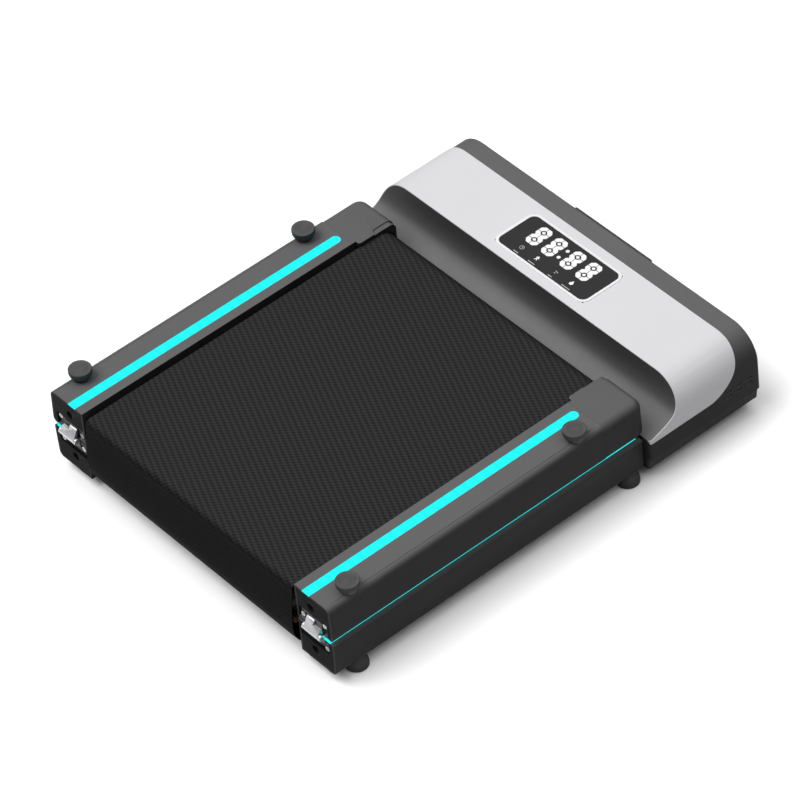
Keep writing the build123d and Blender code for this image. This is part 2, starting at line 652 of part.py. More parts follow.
# ======================= electronics =======================
BOARD_X = (-180.0, -70.0)
BOARD_Y = (at(572.0), at(646.0))
BOARD_Z = 30.0
with BuildPart() as control_board:
    block(BOARD_X, BOARD_Y, (BOARD_Z, BOARD_Z + 1.6))
    block((-112, -94), (BOARD_Y[0] + 8, BOARD_Y[0] + 34), (BOARD_Z + 1.6, BOARD_Z + 19))
    rod_z(-103, BOARD_Y[1] - 16, (BOARD_Z + 1.6, BOARD_Z + 26), 9.0)
    rod_z(-82, BOARD_Y[1] - 16, (BOARD_Z + 1.6, BOARD_Z + 26), 9.0)
    block((-90, -76), (BOARD_Y[0] + 6, BOARD_Y[0] + 26), (BOARD_Z + 1.6, BOARD_Z + 13))
save(control_board.part, "control_board")

with BuildPart() as heatsink:
    block((-172, -120), (BOARD_Y[0] + 8, BOARD_Y[1] - 8), (BOARD_Z + 1.6, BOARD_Z + 7))
    for fin in range(7):
        x = -172 + fin * 8.0
        block((x, x + 2.4), (BOARD_Y[0] + 8, BOARD_Y[1] - 8), (BOARD_Z + 7, BOARD_Z + 30))
save(heatsink.part, "board_heatsink")

# ======================= belly pan =======================
BELT_SLOT = (-BELT_HALF_WIDTH - 4, BELT_HALF_WIDTH + 4)
with BuildPart() as belly_pan:
    with BuildSketch(along(at(HOOD_FRONT))):
        with BuildLine():
            Polyline(
                (-HOOD_HALF + 6, HOOD_BOTTOM), (-HOOD_HALF + 3, SKIRT_TOP), (HOOD_HALF - 3, SKIRT_TOP),
                (HOOD_HALF - 6, HOOD_BOTTOM), close=True,
            )
        make_face()
    extrude(amount=-(HOOD_BACK - 3 - HOOD_FRONT))
    front_rim = belly_pan.faces().sort_by(Axis.Y)[0].edges()
    fillet(front_rim.filter_by(lambda edge: abs(edge.center().X) > HOOD_HALF - 10), HOOD_RIM)
    fillet(belly_pan.faces().sort_by(Axis.Z)[0].edges().filter_by(Axis.Y), 3.0)
    hollow_x = (-HOOD_HALF + 13.0, HOOD_HALF - 13.0)
    block(hollow_x, (at(HOOD_FRONT + 2.5), at(HOOD_BACK - 8)), (PAN_TOP, SKIRT_TOP), Mode.SUBTRACT)
    block(BELT_SLOT, (at(HOOD_FRONT - 1), at(HOOD_FRONT + 4)), (PAN_TOP, SKIRT_TOP), Mode.SUBTRACT)
    for x in (-WHEEL_X, WHEEL_X):
        arch_y = (at(WHEEL_AT - 21), at(WHEEL_AT + 21))
        block((x - 11, x + 11), arch_y, (HOOD_BOTTOM, PAN_TOP), Mode.SUBTRACT)
        for lug in (x - 15, x + 11):
            block((lug, lug + 4), (at(WHEEL_AT - 8), at(WHEEL_AT + 8)), (HOOD_BOTTOM + 1, WHEEL_Z + 9))
        rod_x((x - 16, x + 16), at(WHEEL_AT), WHEEL_Z, 3.0, Mode.SUBTRACT)
    for x in (BOARD_X[0] + 5, BOARD_X[1] - 5):
        for y in (BOARD_Y[0] + 5, BOARD_Y[1] - 5):
            rod_z(x, y, (HOOD_BOTTOM + 2, BOARD_Z), 4.0)
save(belly_pan.part, "belly_pan")

with BuildPart() as wheel_axles:
    rod_x((WHEEL_X - 15, WHEEL_X + 15), at(WHEEL_AT), WHEEL_Z, 3.0)
    mirror(about=Plane.YZ)
save(wheel_axles.part, "wheel_axles")


def transport_wheel(x, label):
    """A small transport wheel with a tread groove, turning on its axle."""
    with BuildPart() as wheel:
        rod_x((x - 9, x + 9), at(WHEEL_AT), WHEEL_Z, WHEEL_RADIUS)
        chamfer(wheel.edges().filter_by(GeomType.CIRCLE), 1.5)
        for face in (x - 9, x + 6):
            rod_x((face, face + 3), at(WHEEL_AT), WHEEL_Z, 12.5, Mode.SUBTRACT)
        rod_x((x - 9.5, x + 9.5), at(WHEEL_AT), WHEEL_Z, 5.5)
        rod_x((x - 12, x + 12), at(WHEEL_AT), WHEEL_Z, 3.06, Mode.SUBTRACT)
    save(wheel.part, label)


transport_wheel(-WHEEL_X, "transport_wheel_left")
transport_wheel(WHEEL_X, "transport_wheel_right")


# ======================= hood =======================
def scoop_cutter(drop):
    """Everything in front of the concave front face, across the whole width."""
    face = scoop_line(drop)
    with BuildPart() as cutter:
        with BuildSketch(across(-HOOD_HALF - 5)):
            with BuildLine():
                start = (at(HOOD_FRONT - 10), face[0][1])
                Line(start, face[0])
                Spline(*face)
                Line(face[-1], (face[-1][0] + 2, HOOD_TOP + 10))
                Line((face[-1][0] + 2, HOOD_TOP + 10), (at(HOOD_FRONT - 10), HOOD_TOP + 10))
                Line((at(HOOD_FRONT - 10), HOOD_TOP + 10), start)
            make_face()
        extrude(amount=2 * HOOD_HALF + 10)
    return cutter.part


HOOD_LENGTH = HOOD_BACK - HOOD_FRONT


def hood_block(length, outset=0.0):
    """The hood's solid shape from its front, with a rounded front rim."""
    with BuildPart() as body:
        add(extrude(hood_section(along(at(HOOD_FRONT)), -outset), amount=-length))
        rim = body.faces().sort_by(Axis.Y)[0].edges()
        fillet(rim.filter_by(lambda edge: edge.center().Z > SKIRT_TOP + 1), HOOD_RIM)
    return body.part


WINDOW_CUT_X = (-WINDOW[0] / 2 - 1, WINDOW[0] / 2 + 1)
WINDOW_CUT_Y = (at(DISPLAY_AT - WINDOW[1] / 2 - 1), at(DISPLAY_AT + WINDOW[1] / 2 + 1))
with BuildPart() as base_housing:
    add(hood_block(HOOD_LENGTH))
    back_edges = base_housing.faces().sort_by(Axis.Y)[-1].edges()
    fillet(back_edges.filter_by(lambda edge: edge.center().Z > SKIRT_TOP + 1), 5.0)
    hollow = hood_section(along(at(HOOD_FRONT + HOOD_WALL)), HOOD_WALL)
    add(extrude(hollow, amount=-(HOOD_LENGTH - 2 * HOOD_WALL)), mode=Mode.SUBTRACT)
    opening_x = (-HOOD_HALF + HOOD_WALL + 1.5, HOOD_HALF - HOOD_WALL - 1.5)
    opening_y = (at(HOOD_FRONT + HOOD_WALL), at(HOOD_BACK - HOOD_WALL - 1))
    block(opening_x, opening_y, (SKIRT_TOP - 1, SKIRT_TOP + 6), Mode.SUBTRACT)
    add(scoop_cutter(SCOOP_THICK), mode=Mode.SUBTRACT)
    front_y = (at(HOOD_FRONT - 1), at(HOOD_FRONT + 4))
    block(BELT_SLOT, front_y, (SKIRT_TOP - 1, RAIL_NEAR_Z - 1), Mode.SUBTRACT)
    for row in (64.3, 56.3):
        for start, end in ((623.3, 635.3), (641.3, 652.3), (659.3, 670.3)):
            for x in ((-285, -270), (270, 285)):
                block(x, (at(start), at(end)), (row - 1.4, row + 1.4), Mode.SUBTRACT)
    block(WINDOW_CUT_X, WINDOW_CUT_Y, (HOOD_TOP - 4, HOOD_TOP + 1), Mode.SUBTRACT)
    block(PANEL_X, (at(HOOD_BACK - 5), at(HOOD_BACK + 1)), PANEL_Z, Mode.SUBTRACT)
save(base_housing.part, "base_housing")

with BuildPart() as scoop_panel:
    add(hood_block(70))
    with BuildSketch(across(-HOOD_HALF - 5)):
        with BuildLine():
            outer = scoop_line(0.0)
            inner_line = scoop_line(SCOOP_THICK - 0.05)
            Spline(*outer)
            Line(outer[-1], inner_line[-1])
            Spline(*reversed(inner_line))
            Line(inner_line[0], outer[0])
        make_face()
    extrude(amount=2 * HOOD_HALF + 10, mode=Mode.INTERSECT)
save(scoop_panel.part, "scoop_panel")

with BuildPart() as silver_cover:
    add(hood_block(SKIN_BACK - HOOD_FRONT + 10, SKIN_THICK))
    add(hood_block(HOOD_LENGTH, 0.02), mode=Mode.SUBTRACT)
    with BuildSketch(across(-HOOD_HALF - 5)):
        with BuildLine():
            front = scoop_line(0.0)
            curve = [(at(station), height) for station, height in SKIN_CURVE]
            tip = (at(HOOD_FRONT + 1.0), SKIN_LOW)
            Spline(*front)
            Line(front[-1], (front[-1][0], HOOD_TOP + 5))
            Line((front[-1][0], HOOD_TOP + 5), (at(SKIN_BACK), HOOD_TOP + 5))
            Line((at(SKIN_BACK), HOOD_TOP + 5), curve[0])
            Spline(*curve)
            Line(curve[-1], tip)
            Line(tip, front[0])
        make_face()
    extrude(amount=2 * HOOD_HALF + 10, mode=Mode.INTERSECT)
    block(WINDOW_CUT_X, WINDOW_CUT_Y, (HOOD_TOP - 4, HOOD_TOP + 5), Mode.SUBTRACT)
save(silver_cover.part, "silver_cover")

# ======================= display =======================
SKIN_TOP = HOOD_TOP + SKIN_THICK
with BuildPart() as display_bezel:
    with BuildSketch(Plane.XY.offset(SKIN_TOP)):
        with Locations((0, at(DISPLAY_AT))):
            RectangleRounded(BEZEL[0], BEZEL[1], 13)
            RectangleRounded(WINDOW[0], WINDOW[1], 10, mode=Mode.SUBTRACT)
    extrude(amount=0.8)
save(display_bezel.part, "display_bezel")

with BuildPart() as display_lens:
    with BuildSketch(Plane.XY.offset(HOOD_TOP - 2)):
        with Locations((0, at(DISPLAY_AT))):
            RectangleRounded(WINDOW[0] - 0.3, WINDOW[1] - 0.3, 9.8)
    extrude(amount=SKIN_THICK + 2.5)
save(display_lens.part, "display_lens")

with BuildPart() as display_board:
    y = (at(DISPLAY_AT) - 31, at(DISPLAY_AT) + 31)
    block((-80, 80), y, (HOOD_TOP - 8, HOOD_TOP - 6.4))
    block((-58, 58), (y[0] + 14, y[1] - 8), (HOOD_TOP - 6.4, HOOD_TOP - 2))
save(display_board.part, "display_board")

# ======================= rear panel =======================
with BuildPart() as rear_panel:
    panel_z = (PANEL_Z[0] + 0.2, PANEL_Z[1] - 0.2)
    block((PANEL_X[0] + 0.2, PANEL_X[1] - 0.2), (at(HOOD_BACK - 4), at(PANEL_BACK)), panel_z)
    fillet(rear_panel.faces().sort_by(Axis.Y)[-1].edges(), 1.5)
    block(
        (INLET[0] - 14, INLET[0] + 14), (at(HOOD_BACK - 5), at(PANEL_BACK + 1)),
        (INLET[1] - 10.5, INLET[1] + 10.5), Mode.SUBTRACT,
    )
    block(
        (SWITCH[0] - 6.8, SWITCH[0] + 6.8), (at(HOOD_BACK - 5), at(PANEL_BACK + 1)),
        (SWITCH[1] - 11, SWITCH[1] + 11), Mode.SUBTRACT,
    )
    rod_y(RESET[0], (at(HOOD_BACK - 5), at(PANEL_BACK + 1)), RESET[1], 6.0, Mode.SUBTRACT)
save(rear_panel.part, "rear_panel")

with BuildPart() as power_inlet:
    inlet_z = (INLET[1] - 10.5, INLET[1] + 10.5)
    block((INLET[0] - 14, INLET[0] + 14), (at(HOOD_BACK - 20), at(PANEL_BACK)), inlet_z)
    with BuildSketch(along(at(PANEL_BACK))):
        with Locations((INLET[0], INLET[1])):
            Rectangle(24.0, 16.4)
    extrude(amount=19, mode=Mode.SUBTRACT)
    for offset_x, offset_z in ((-7.0, 2.0), (0.0, 5.2), (7.0, 2.0)):
        x = INLET[0] + offset_x
        z = INLET[1] + offset_z
        block((x - 1, x + 1), (at(PANEL_BACK - 19), at(PANEL_BACK - 4)), (z - 1.8, z + 1.8))
save(power_inlet.part, "power_inlet")

# The rocker turns about an axis behind the panel; its face is two flats meeting at that height.
ROCKER_PIVOT_Y = at(PANEL_BACK - 6)
ROCKER_RADIUS = 10.4
ROCKER_HALF = 6.3
with BuildPart() as switch_body:
    x = (SWITCH[0] - 6.8, SWITCH[0] + 6.8)
    z = (SWITCH[1] - 11, SWITCH[1] + 11)
    block(x, (at(HOOD_BACK - 24), at(PANEL_BACK)), z)
    inner_x = (SWITCH[0] - ROCKER_HALF - 0.2, SWITCH[0] + ROCKER_HALF + 0.2)
    block(inner_x, (ROCKER_PIVOT_Y, at(PANEL_BACK + 1)), (z[0] + 0.3, z[1] - 0.3), Mode.SUBTRACT)
    rod_x(inner_x, ROCKER_PIVOT_Y, SWITCH[1], ROCKER_RADIUS + 0.3, Mode.SUBTRACT)
save(switch_body.part, "switch_body")

with BuildPart() as power_rocker:
    rod_x((SWITCH[0] - ROCKER_HALF, SWITCH[0] + ROCKER_HALF), ROCKER_PIVOT_Y, SWITCH[1], ROCKER_RADIUS)
    with BuildSketch(across(SWITCH[0] - ROCKER_HALF)):
        with BuildLine():
            Polyline(
                (ROCKER_PIVOT_Y - 3, SWITCH[1] - 12), (ROCKER_PIVOT_Y + 9.2, SWITCH[1] - 12),
                (ROCKER_PIVOT_Y + 5.6, SWITCH[1]), (ROCKER_PIVOT_Y + 5.6, SWITCH[1] + 12),
                (ROCKER_PIVOT_Y - 3, SWITCH[1] + 12), close=True,
            )
        make_face()
    extrude(amount=2 * ROCKER_HALF, mode=Mode.INTERSECT)
save(power_rocker.part, "power_rocker")

with BuildPart() as breaker_body:
    rod_y(RESET[0], (at(HOOD_BACK - 24), at(PANEL_BACK + 2)), RESET[1], 5.9)
    rod_y(RESET[0], (at(PANEL_BACK), at(PANEL_BACK + 1)), RESET[1], 7.0)
    rod_y(RESET[0], (at(PANEL_BACK - 8), at(PANEL_BACK + 3)), RESET[1], 4.3, Mode.SUBTRACT)
save(breaker_body.part, "breaker_body")

with BuildPart() as reset_button:
    rod_y(RESET[0], (at(PANEL_BACK - 4), at(PANEL_BACK + 1)), RESET[1], 4.0)
    fillet(reset_button.faces().sort_by(Axis.Y)[-1].edges(), 0.8)
save(reset_button.part, "reset_button")

# ======================= upper half: end caps and belt tensioners =======================
REAR_Z = 2 * MID_Z - ROLLER_Z
LIP_INNER = 197.2          # the caps' inner edge, over the belt's edge
FINGER_AT = 467.5          # where the shallow finger recess beside the belt begins
CAP_ROUND = (12.0, 8.0)    # the caps' outer edges, far from and near the fold plane
CAP_PLAN_ROUND = 15.0


def cap_shell():
    """An end cap's outer block, with its end rounded like a pillow."""
    with BuildPart(mode=Mode.PRIVATE) as shell:
        with BuildSketch(along(at(UPPER_RAIL_LENGTH))) as section:
            with BuildLine():
                Polyline(
                    (RAIL_INNER, RAIL_FAR_Z), (RAIL_OUTER - 2.5, RAIL_FAR_Z), (RAIL_OUTER, RAIL_NEAR_Z),
                    (RAIL_INNER, RAIL_NEAR_Z), close=True,
                )
            make_face()
        extrude(amount=UPPER_RAIL_LENGTH - CAP_END)
        fillet(shell.edges().sort_by(Axis.Y)[-4:].sort_by(Axis.X)[-1], CAP_PLAN_ROUND)
        for side, radius in zip((0, -1), CAP_ROUND):
            rim = shell.faces().sort_by(Axis.Z)[side].edges()
            rim = rim.filter_by(lambda edge: edge.center().X > RAIL_INNER + 0.5)
            fillet(rim.filter_by(lambda edge: edge.center().Y > at(UPPER_RAIL_LENGTH) + 0.5), radius)
    return shell.part


# A cap is drawn at the lower half's height and mirrored to the upper half.
with BuildPart() as end_cap:
    lip_y = (at(UPPER_RAIL_LENGTH + 5), at(REAR_ROLLER_AT))
    block((LIP_INNER, RAIL_INNER), lip_y, (RAIL_FAR_Z, RAIL_FAR_Z + 5.4))
    lip_corner = end_cap.edges().filter_by(Axis.Z).sort_by(Axis.X)[:2].sort_by(Axis.Y)[0]
    fillet(lip_corner, 3.5)
    cheek_y = (at(REAR_ROLLER_AT), at(CAP_END))
    block((LIP_INNER, RAIL_INNER), cheek_y, (RAIL_FAR_Z, ROLLER_Z + 10))
    rod_x((LIP_INNER - 1, RAIL_INNER), at(REAR_ROLLER_AT), ROLLER_Z, WRAP_OUTER + 1.1, Mode.SUBTRACT)
    add(round_end(CAP_END, *CAP_ROUND), mode=Mode.INTERSECT)
    add(cap_shell())
    with BuildPart(mode=Mode.PRIVATE) as finger:
        with BuildSketch(Plane.XY):
            with Locations((LIP_INNER, at(CAP_END))):
                SlotOverall(2 * (CAP_END - FINGER_AT), 2 * (RAIL_INNER + 1 - LIP_INNER), rotation=90)
        extrude(amount=RAIL_NEAR_Z)
        core = offset(round_end(CAP_END, *CAP_ROUND).solid(), -1.5, mode=Mode.PRIVATE)
        add(core, mode=Mode.SUBTRACT)
    add(finger.part, mode=Mode.SUBTRACT)
    cavity_z = (RAIL_FAR_Z + 4, RAIL_NEAR_Z - 4)
    block((210, 261), (at(UPPER_RAIL_LENGTH - 1), at(CAP_END - 12)), cavity_z, Mode.SUBTRACT)
    rod_x((LIP_INNER - 1, 211), at(REAR_ROLLER_AT), ROLLER_Z, AXLE_RADIUS + 0.5, Mode.SUBTRACT)
    rod_y(240, (at(CAP_END - 13), at(CAP_END - 9)), ROLLER_Z, 3.1, Mode.SUBTRACT)
    rod_y(240, (at(CAP_END - 9.5), at(CAP_END + 4)), ROLLER_Z, 5.0, Mode.SUBTRACT)
end_cap_right = mirror(end_cap.part, about=FOLD_PLANE)
with BuildPart() as end_caps:
    add(end_cap_right)
    mirror(about=Plane.YZ)
save(end_caps.part, "end_caps")

with BuildPart() as tension_blocks:
    block((214, 246), (at(REAR_ROLLER_AT - 11), at(REAR_ROLLER_AT + 11)), (REAR_Z - 12, REAR_Z + 12))
    rod_x((213, 232), at(REAR_ROLLER_AT), REAR_Z, AXLE_RADIUS, Mode.SUBTRACT)
    rod_y(240, (at(REAR_ROLLER_AT - 12), at(REAR_ROLLER_AT + 12)), REAR_Z, 3.0, Mode.SUBTRACT)
    mirror(about=Plane.YZ)
save(tension_blocks.part, "tension_blocks")

with BuildPart() as tension_screws:
    rod_y(240, (at(UPPER_RAIL_LENGTH + 2), at(CAP_END - 5.5)), REAR_Z, 3.0)
    rod_y(240, (at(CAP_END - 9.5), at(CAP_END - 5.5)), REAR_Z, 4.6)
    mirror(about=Plane.YZ)

with BuildPart() as fasteners_upper:
    add(mirror(foot_studs(UPPER_FEET_AT), about=FOLD_PLANE))
    add(hinge_screws.part)
    add(tension_screws.part)
save(fasteners_upper.part, "fasteners_upper")
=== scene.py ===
import json
import math

import bmesh
import bpy
from mathutils import Matrix, Vector


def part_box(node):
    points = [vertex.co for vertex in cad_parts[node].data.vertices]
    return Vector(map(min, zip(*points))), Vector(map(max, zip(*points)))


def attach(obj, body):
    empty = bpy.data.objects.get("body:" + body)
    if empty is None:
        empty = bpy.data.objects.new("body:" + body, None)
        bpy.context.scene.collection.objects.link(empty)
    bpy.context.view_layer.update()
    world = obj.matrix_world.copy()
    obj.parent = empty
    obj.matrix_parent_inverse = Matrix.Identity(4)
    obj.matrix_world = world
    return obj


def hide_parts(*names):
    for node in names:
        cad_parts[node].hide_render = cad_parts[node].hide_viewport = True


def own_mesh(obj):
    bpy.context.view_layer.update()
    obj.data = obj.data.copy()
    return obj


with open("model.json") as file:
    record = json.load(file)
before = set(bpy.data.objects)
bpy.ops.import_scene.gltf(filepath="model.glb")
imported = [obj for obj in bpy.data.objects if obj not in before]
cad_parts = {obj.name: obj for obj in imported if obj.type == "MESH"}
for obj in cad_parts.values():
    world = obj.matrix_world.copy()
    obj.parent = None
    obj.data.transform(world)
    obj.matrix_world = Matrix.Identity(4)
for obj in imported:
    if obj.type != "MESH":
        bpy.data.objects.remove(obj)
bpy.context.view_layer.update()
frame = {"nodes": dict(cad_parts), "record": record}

MM = 0.001
LOWER, UPPER = "lower_half", "upper_half"


# ======================= camera, floor and light =======================
CAMERA_AT = Vector((4.038, -2.991, 4.869))
CAMERA_AZIMUTH = math.radians(53.52)
CAMERA_ELEVATION = math.radians(43.74)
CAMERA_ROLL = math.radians(-6.01)
CAMERA_LENS = 252.2


def make_camera():
    """A long lens from the front right, above, turned a little about its own axis."""
    data = bpy.data.cameras.new("camera")
    data.lens = CAMERA_LENS
    data.sensor_width = 36.0
    data.clip_end = 60.0
    camera = bpy.data.objects.new("camera", data)
    bpy.context.scene.collection.objects.link(camera)
    out = math.cos(CAMERA_ELEVATION)
    forward = Vector((
        -math.sin(CAMERA_AZIMUTH) * out, math.cos(CAMERA_AZIMUTH) * out, -math.sin(CAMERA_ELEVATION),
    ))
    level = forward.cross(Vector((0, 0, 1))).normalized()
    upright = level.cross(forward)
    right = level * math.cos(CAMERA_ROLL) + upright * math.sin(CAMERA_ROLL)
    top = right.cross(forward)
    turn = Matrix((right, top, -forward)).transposed().to_4x4()
    camera.matrix_world = Matrix.Translation(CAMERA_AT) @ turn
    bpy.context.scene.camera = camera


SURROUND_STRENGTH = 0.1
FRONT_LIGHT = (-0.25, -0.45, 0.86)
OVERHEAD_LIGHT = (0.05, 0.0, 1.0)
FLOOR_HALF = 8.0
FLOOR_BELOW = 0.0005       # the floor lies this far below the feet


def distant_light(name, direction, spread_degrees, strength, tint):
    """An even soft light from one side of the sky; direction points from the object to the light."""
    data = bpy.data.lights.new(name, "SUN")
    data.energy = strength
    data.angle = math.radians(spread_degrees)
    data.color = tint
    light = bpy.data.objects.new(name, data)
    bpy.context.scene.collection.objects.link(light)
    light.rotation_mode = "QUATERNION"
    light.rotation_quaternion = Vector(direction).to_track_quat("Z", "Y")


def make_light():
    """A faint even surround, one large soft light on the fold end's side and one overhead."""
    scene = bpy.context.scene
    scene.view_settings.view_transform = "Standard"
    scene.view_settings.look = "None"
    world = bpy.data.worlds.new("studio")
    world.use_nodes = True
    background = world.node_tree.nodes["Background"]
    background.inputs["Color"].default_value = (0.97, 0.98, 1.0, 1)
    background.inputs["Strength"].default_value = SURROUND_STRENGTH
    scene.world = world
    distant_light("light_front", FRONT_LIGHT, 40.0, 2.0, (1.0, 1.0, 1.0))
    distant_light("light_overhead", OVERHEAD_LIGHT, 90.0, 2.3, (1.0, 0.998, 0.995))


def make_floor():
    """A pale plane, far wider than the view."""
    mesh = bpy.data.meshes.new("floor")
    builder = bmesh.new()
    bmesh.ops.create_grid(builder, x_segments=4, y_segments=4, size=FLOOR_HALF)
    builder.to_mesh(mesh)
    builder.free()
    floor = bpy.data.objects.new("floor", mesh)
    bpy.context.scene.collection.objects.link(floor)
    floor.location.z = -FLOOR_BELOW
    paint, _, shader = new_material("floor_paint", (0.95, 0.95, 0.95), 0.9)
    shader.inputs["Specular IOR Level"].default_value = 0.0
    mesh.materials.append(paint)


# ======================= materials =======================
def new_material(name, colour, roughness, metallic=0.0, specular=0.5):
    """A named material with its shader's plain values set, its node tree and its shader."""
    material = bpy.data.materials.new(name)
    material.use_nodes = True
    tree = material.node_tree
    shader = tree.nodes["Principled BSDF"]
    shader.inputs["Base Color"].default_value = (*colour, 1)
    shader.inputs["Roughness"].default_value = roughness
    shader.inputs["Metallic"].default_value = metallic
    shader.inputs["Specular IOR Level"].default_value = specular
    return material, tree, shader


def node(tree, kind, **values):
    """Adds a shader node; names with a leading input_ set its inputs."""
    made = tree.nodes.new(kind)
    for key, value in values.items():
        if key.startswith("input_"):
            made.inputs[key[6:].replace("_", " ")].default_value = value
        else:
            setattr(made, key, value)
    return made


def place(tree, stretch=(1, 1, 1)):
    """Object coordinates, in metres, stretched per axis."""
    coordinates = node(tree, "ShaderNodeTexCoord")
    mapping = node(tree, "ShaderNodeMapping", input_Scale=stretch)
    tree.links.new(coordinates.outputs["Object"], mapping.inputs["Vector"])
    return mapping.outputs["Vector"]


def noise(tree, scale, detail=3.0, stretch=(1, 1, 1), roughness=0.5):
    """A noise value in object space; scale is in cells per metre."""
    made = node(tree, "ShaderNodeTexNoise", input_Scale=scale, input_Detail=detail, input_Roughness=roughness)
    tree.links.new(place(tree, stretch), made.inputs["Vector"])
    return made.outputs["Fac"]


def spread(tree, value, low, high):
    """Maps the middle of a noise value onto low to high."""
    ramp = node(tree, "ShaderNodeMapRange")
    ramp.inputs["From Min"].default_value = 0.3
    ramp.inputs["From Max"].default_value = 0.7
    ramp.inputs["To Min"].default_value = low
    ramp.inputs["To Max"].default_value = high
    tree.links.new(value, ramp.inputs["Value"])
    return ramp.outputs["Result"]


def painted_top_light(tree, shader, colour, painted_lit_top):
    """Base colour with painted light: it runs from colour on upright faces, as painted shade, to
    painted_lit_top on level ones, as a painted highlight; returns its scaling node.
    """
    scale = node(tree, "ShaderNodeVectorMath", operation="SCALE")
    facing = node(tree, "ShaderNodeTexCoord")
    split = node(tree, "ShaderNodeSeparateXYZ")
    # the square of the normal's Z is the mask of the painted light: level faces painted lit, upright faces
    # painted shaded
    level = node(tree, "ShaderNodeMath", operation="MULTIPLY")
    mix = node(tree, "ShaderNodeMix", data_type="RGBA")
    mix.inputs[6].default_value = (*colour, 1)
    mix.inputs[7].default_value = (*painted_lit_top, 1)
    tree.links.new(facing.outputs["Normal"], split.inputs["Vector"])
    tree.links.new(split.outputs["Z"], level.inputs[0])
    tree.links.new(split.outputs["Z"], level.inputs[1])
    tree.links.new(level.outputs["Value"], mix.inputs["Factor"])
    tree.links.new(mix.outputs[2], scale.inputs[0])
    tree.links.new(scale.outputs["Vector"], shader.inputs["Base Color"])
    return scale


def vary_colour(tree, shader, colour, value, amount, painted_lit_top=None):
    """Lightens and darkens the base colour by a noise value; painted_lit_top, if given, is painted light on
    level faces, with colour as painted shade on upright ones.
    """
    scale = painted_top_light(tree, shader, colour, painted_lit_top or colour)
    tree.links.new(spread(tree, value, 1 - amount, 1 + amount), scale.inputs["Scale"])


def vary_gloss(tree, shader, value, low, high):
    """Runs the roughness from low to high by a noise value."""
    tree.links.new(spread(tree, value, low, high), shader.inputs["Roughness"])


def bump(tree, shader, height, strength, depth, below=None):
    """Bump from a height value; depth is in metres."""
    made = node(tree, "ShaderNodeBump", input_Strength=strength, input_Distance=depth)
    tree.links.new(height, made.inputs["Height"])
    if below is not None:
        tree.links.new(below, made.inputs["Normal"])
    tree.links.new(made.outputs["Normal"], shader.inputs["Normal"])
    return made.outputs["Normal"]


def moulded(name, colour, roughness, grain=1400.0, depth=0.00006, specular=0.5, amount=0.05, painted_lit_top=None):
    """Moulded plastic: fine eroded grain, faint cloudy variation of colour and gloss."""
    material, tree, shader = new_material(name, colour, roughness, specular=specular)
    # painted_lit_top paints level faces lighter than upright ones: painted light, not a colour of the plastic
    vary_colour(tree, shader, colour, noise(tree, 9.0, 4.0), amount, painted_lit_top)
    vary_gloss(tree, shader, noise(tree, 26.0, 5.0), roughness - 0.04, roughness + 0.05)
    bump(tree, shader, noise(tree, grain, 2.0), 0.5, depth)
    return material


def painted(name, colour, roughness, specular=0.5, flake=0.0, amount=0.03, painted_lit_top=None):
    """Powder coat or spray paint: fine orange peel, and flake if it is a metallic paint."""
    material, tree, shader = new_material(name, colour, roughness, specular=specular)
    # painted_lit_top paints level faces lighter than upright ones: painted light, not a colour of the paint
    vary_colour(tree, shader, colour, noise(tree, 7.0, 4.0), amount, painted_lit_top)
    vary_gloss(tree, shader, noise(tree, 18.0, 5.0), roughness - 0.03, roughness + 0.04)
    peel = bump(tree, shader, noise(tree, 900.0, 2.0), 0.35, 0.00005)
    if flake:
        cells = node(tree, "ShaderNodeTexVoronoi", input_Scale=2600.0)
        tree.links.new(place(tree), cells.inputs["Vector"])
        bump(tree, shader, cells.outputs["Distance"], flake, 0.00004, peel)
    return material


def metal(name, colour, roughness, stretch=(1, 1, 1), scratch=700.0):
    """Bare or plated metal with fine drawn lines along one axis."""
    material, tree, shader = new_material(name, colour, roughness, 1.0)
    lines = noise(tree, scratch, 4.0, stretch)
    vary_colour(tree, shader, colour, noise(tree, 60.0, 4.0), 0.08)
    vary_gloss(tree, shader, lines, roughness - 0.07, roughness + 0.1)
    bump(tree, shader, lines, 0.35, 0.00004)
    return material


PLATE_FROM_Y = (-0.3395, -0.3385)    # between these the hinge leaves pass from knuckle to plate
ZINC = (0.62, 0.62, 0.63)
# painted shade on the hinge plates behind the knuckles
PLATE_PAINTED_SHADE = (0.05, 0.05, 0.052)


def hinge_material():
    """Zinc-plated knuckles; the screwed plates behind them are painted near black as painted shade."""
    material, tree, shader = new_material("hinge_metal", ZINC, 0.42, 1.0)
    split = node(tree, "ShaderNodeSeparateXYZ")
    depth = node(tree, "ShaderNodeMapRange", interpolation_type="SMOOTHSTEP")
    depth.inputs["From Min"].default_value = PLATE_FROM_Y[0]
    depth.inputs["From Max"].default_value = PLATE_FROM_Y[1]
    mix = node(tree, "ShaderNodeMix", data_type="RGBA")
    mix.inputs[6].default_value = (*ZINC, 1)
    mix.inputs[7].default_value = (*PLATE_PAINTED_SHADE, 1)
    tree.links.new(place(tree), split.inputs["Vector"])
    tree.links.new(split.outputs["Y"], depth.inputs["Value"])
    tree.links.new(depth.outputs["Result"], mix.inputs["Factor"])
    tree.links.new(mix.outputs[2], shader.inputs["Base Color"])
    lines = noise(tree, 700.0, 4.0, (1, 0.1, 0.1))
    vary_gloss(tree, shader, lines, 0.38, 0.48)
    bump(tree, shader, lines, 0.25, 0.00003)
    return material


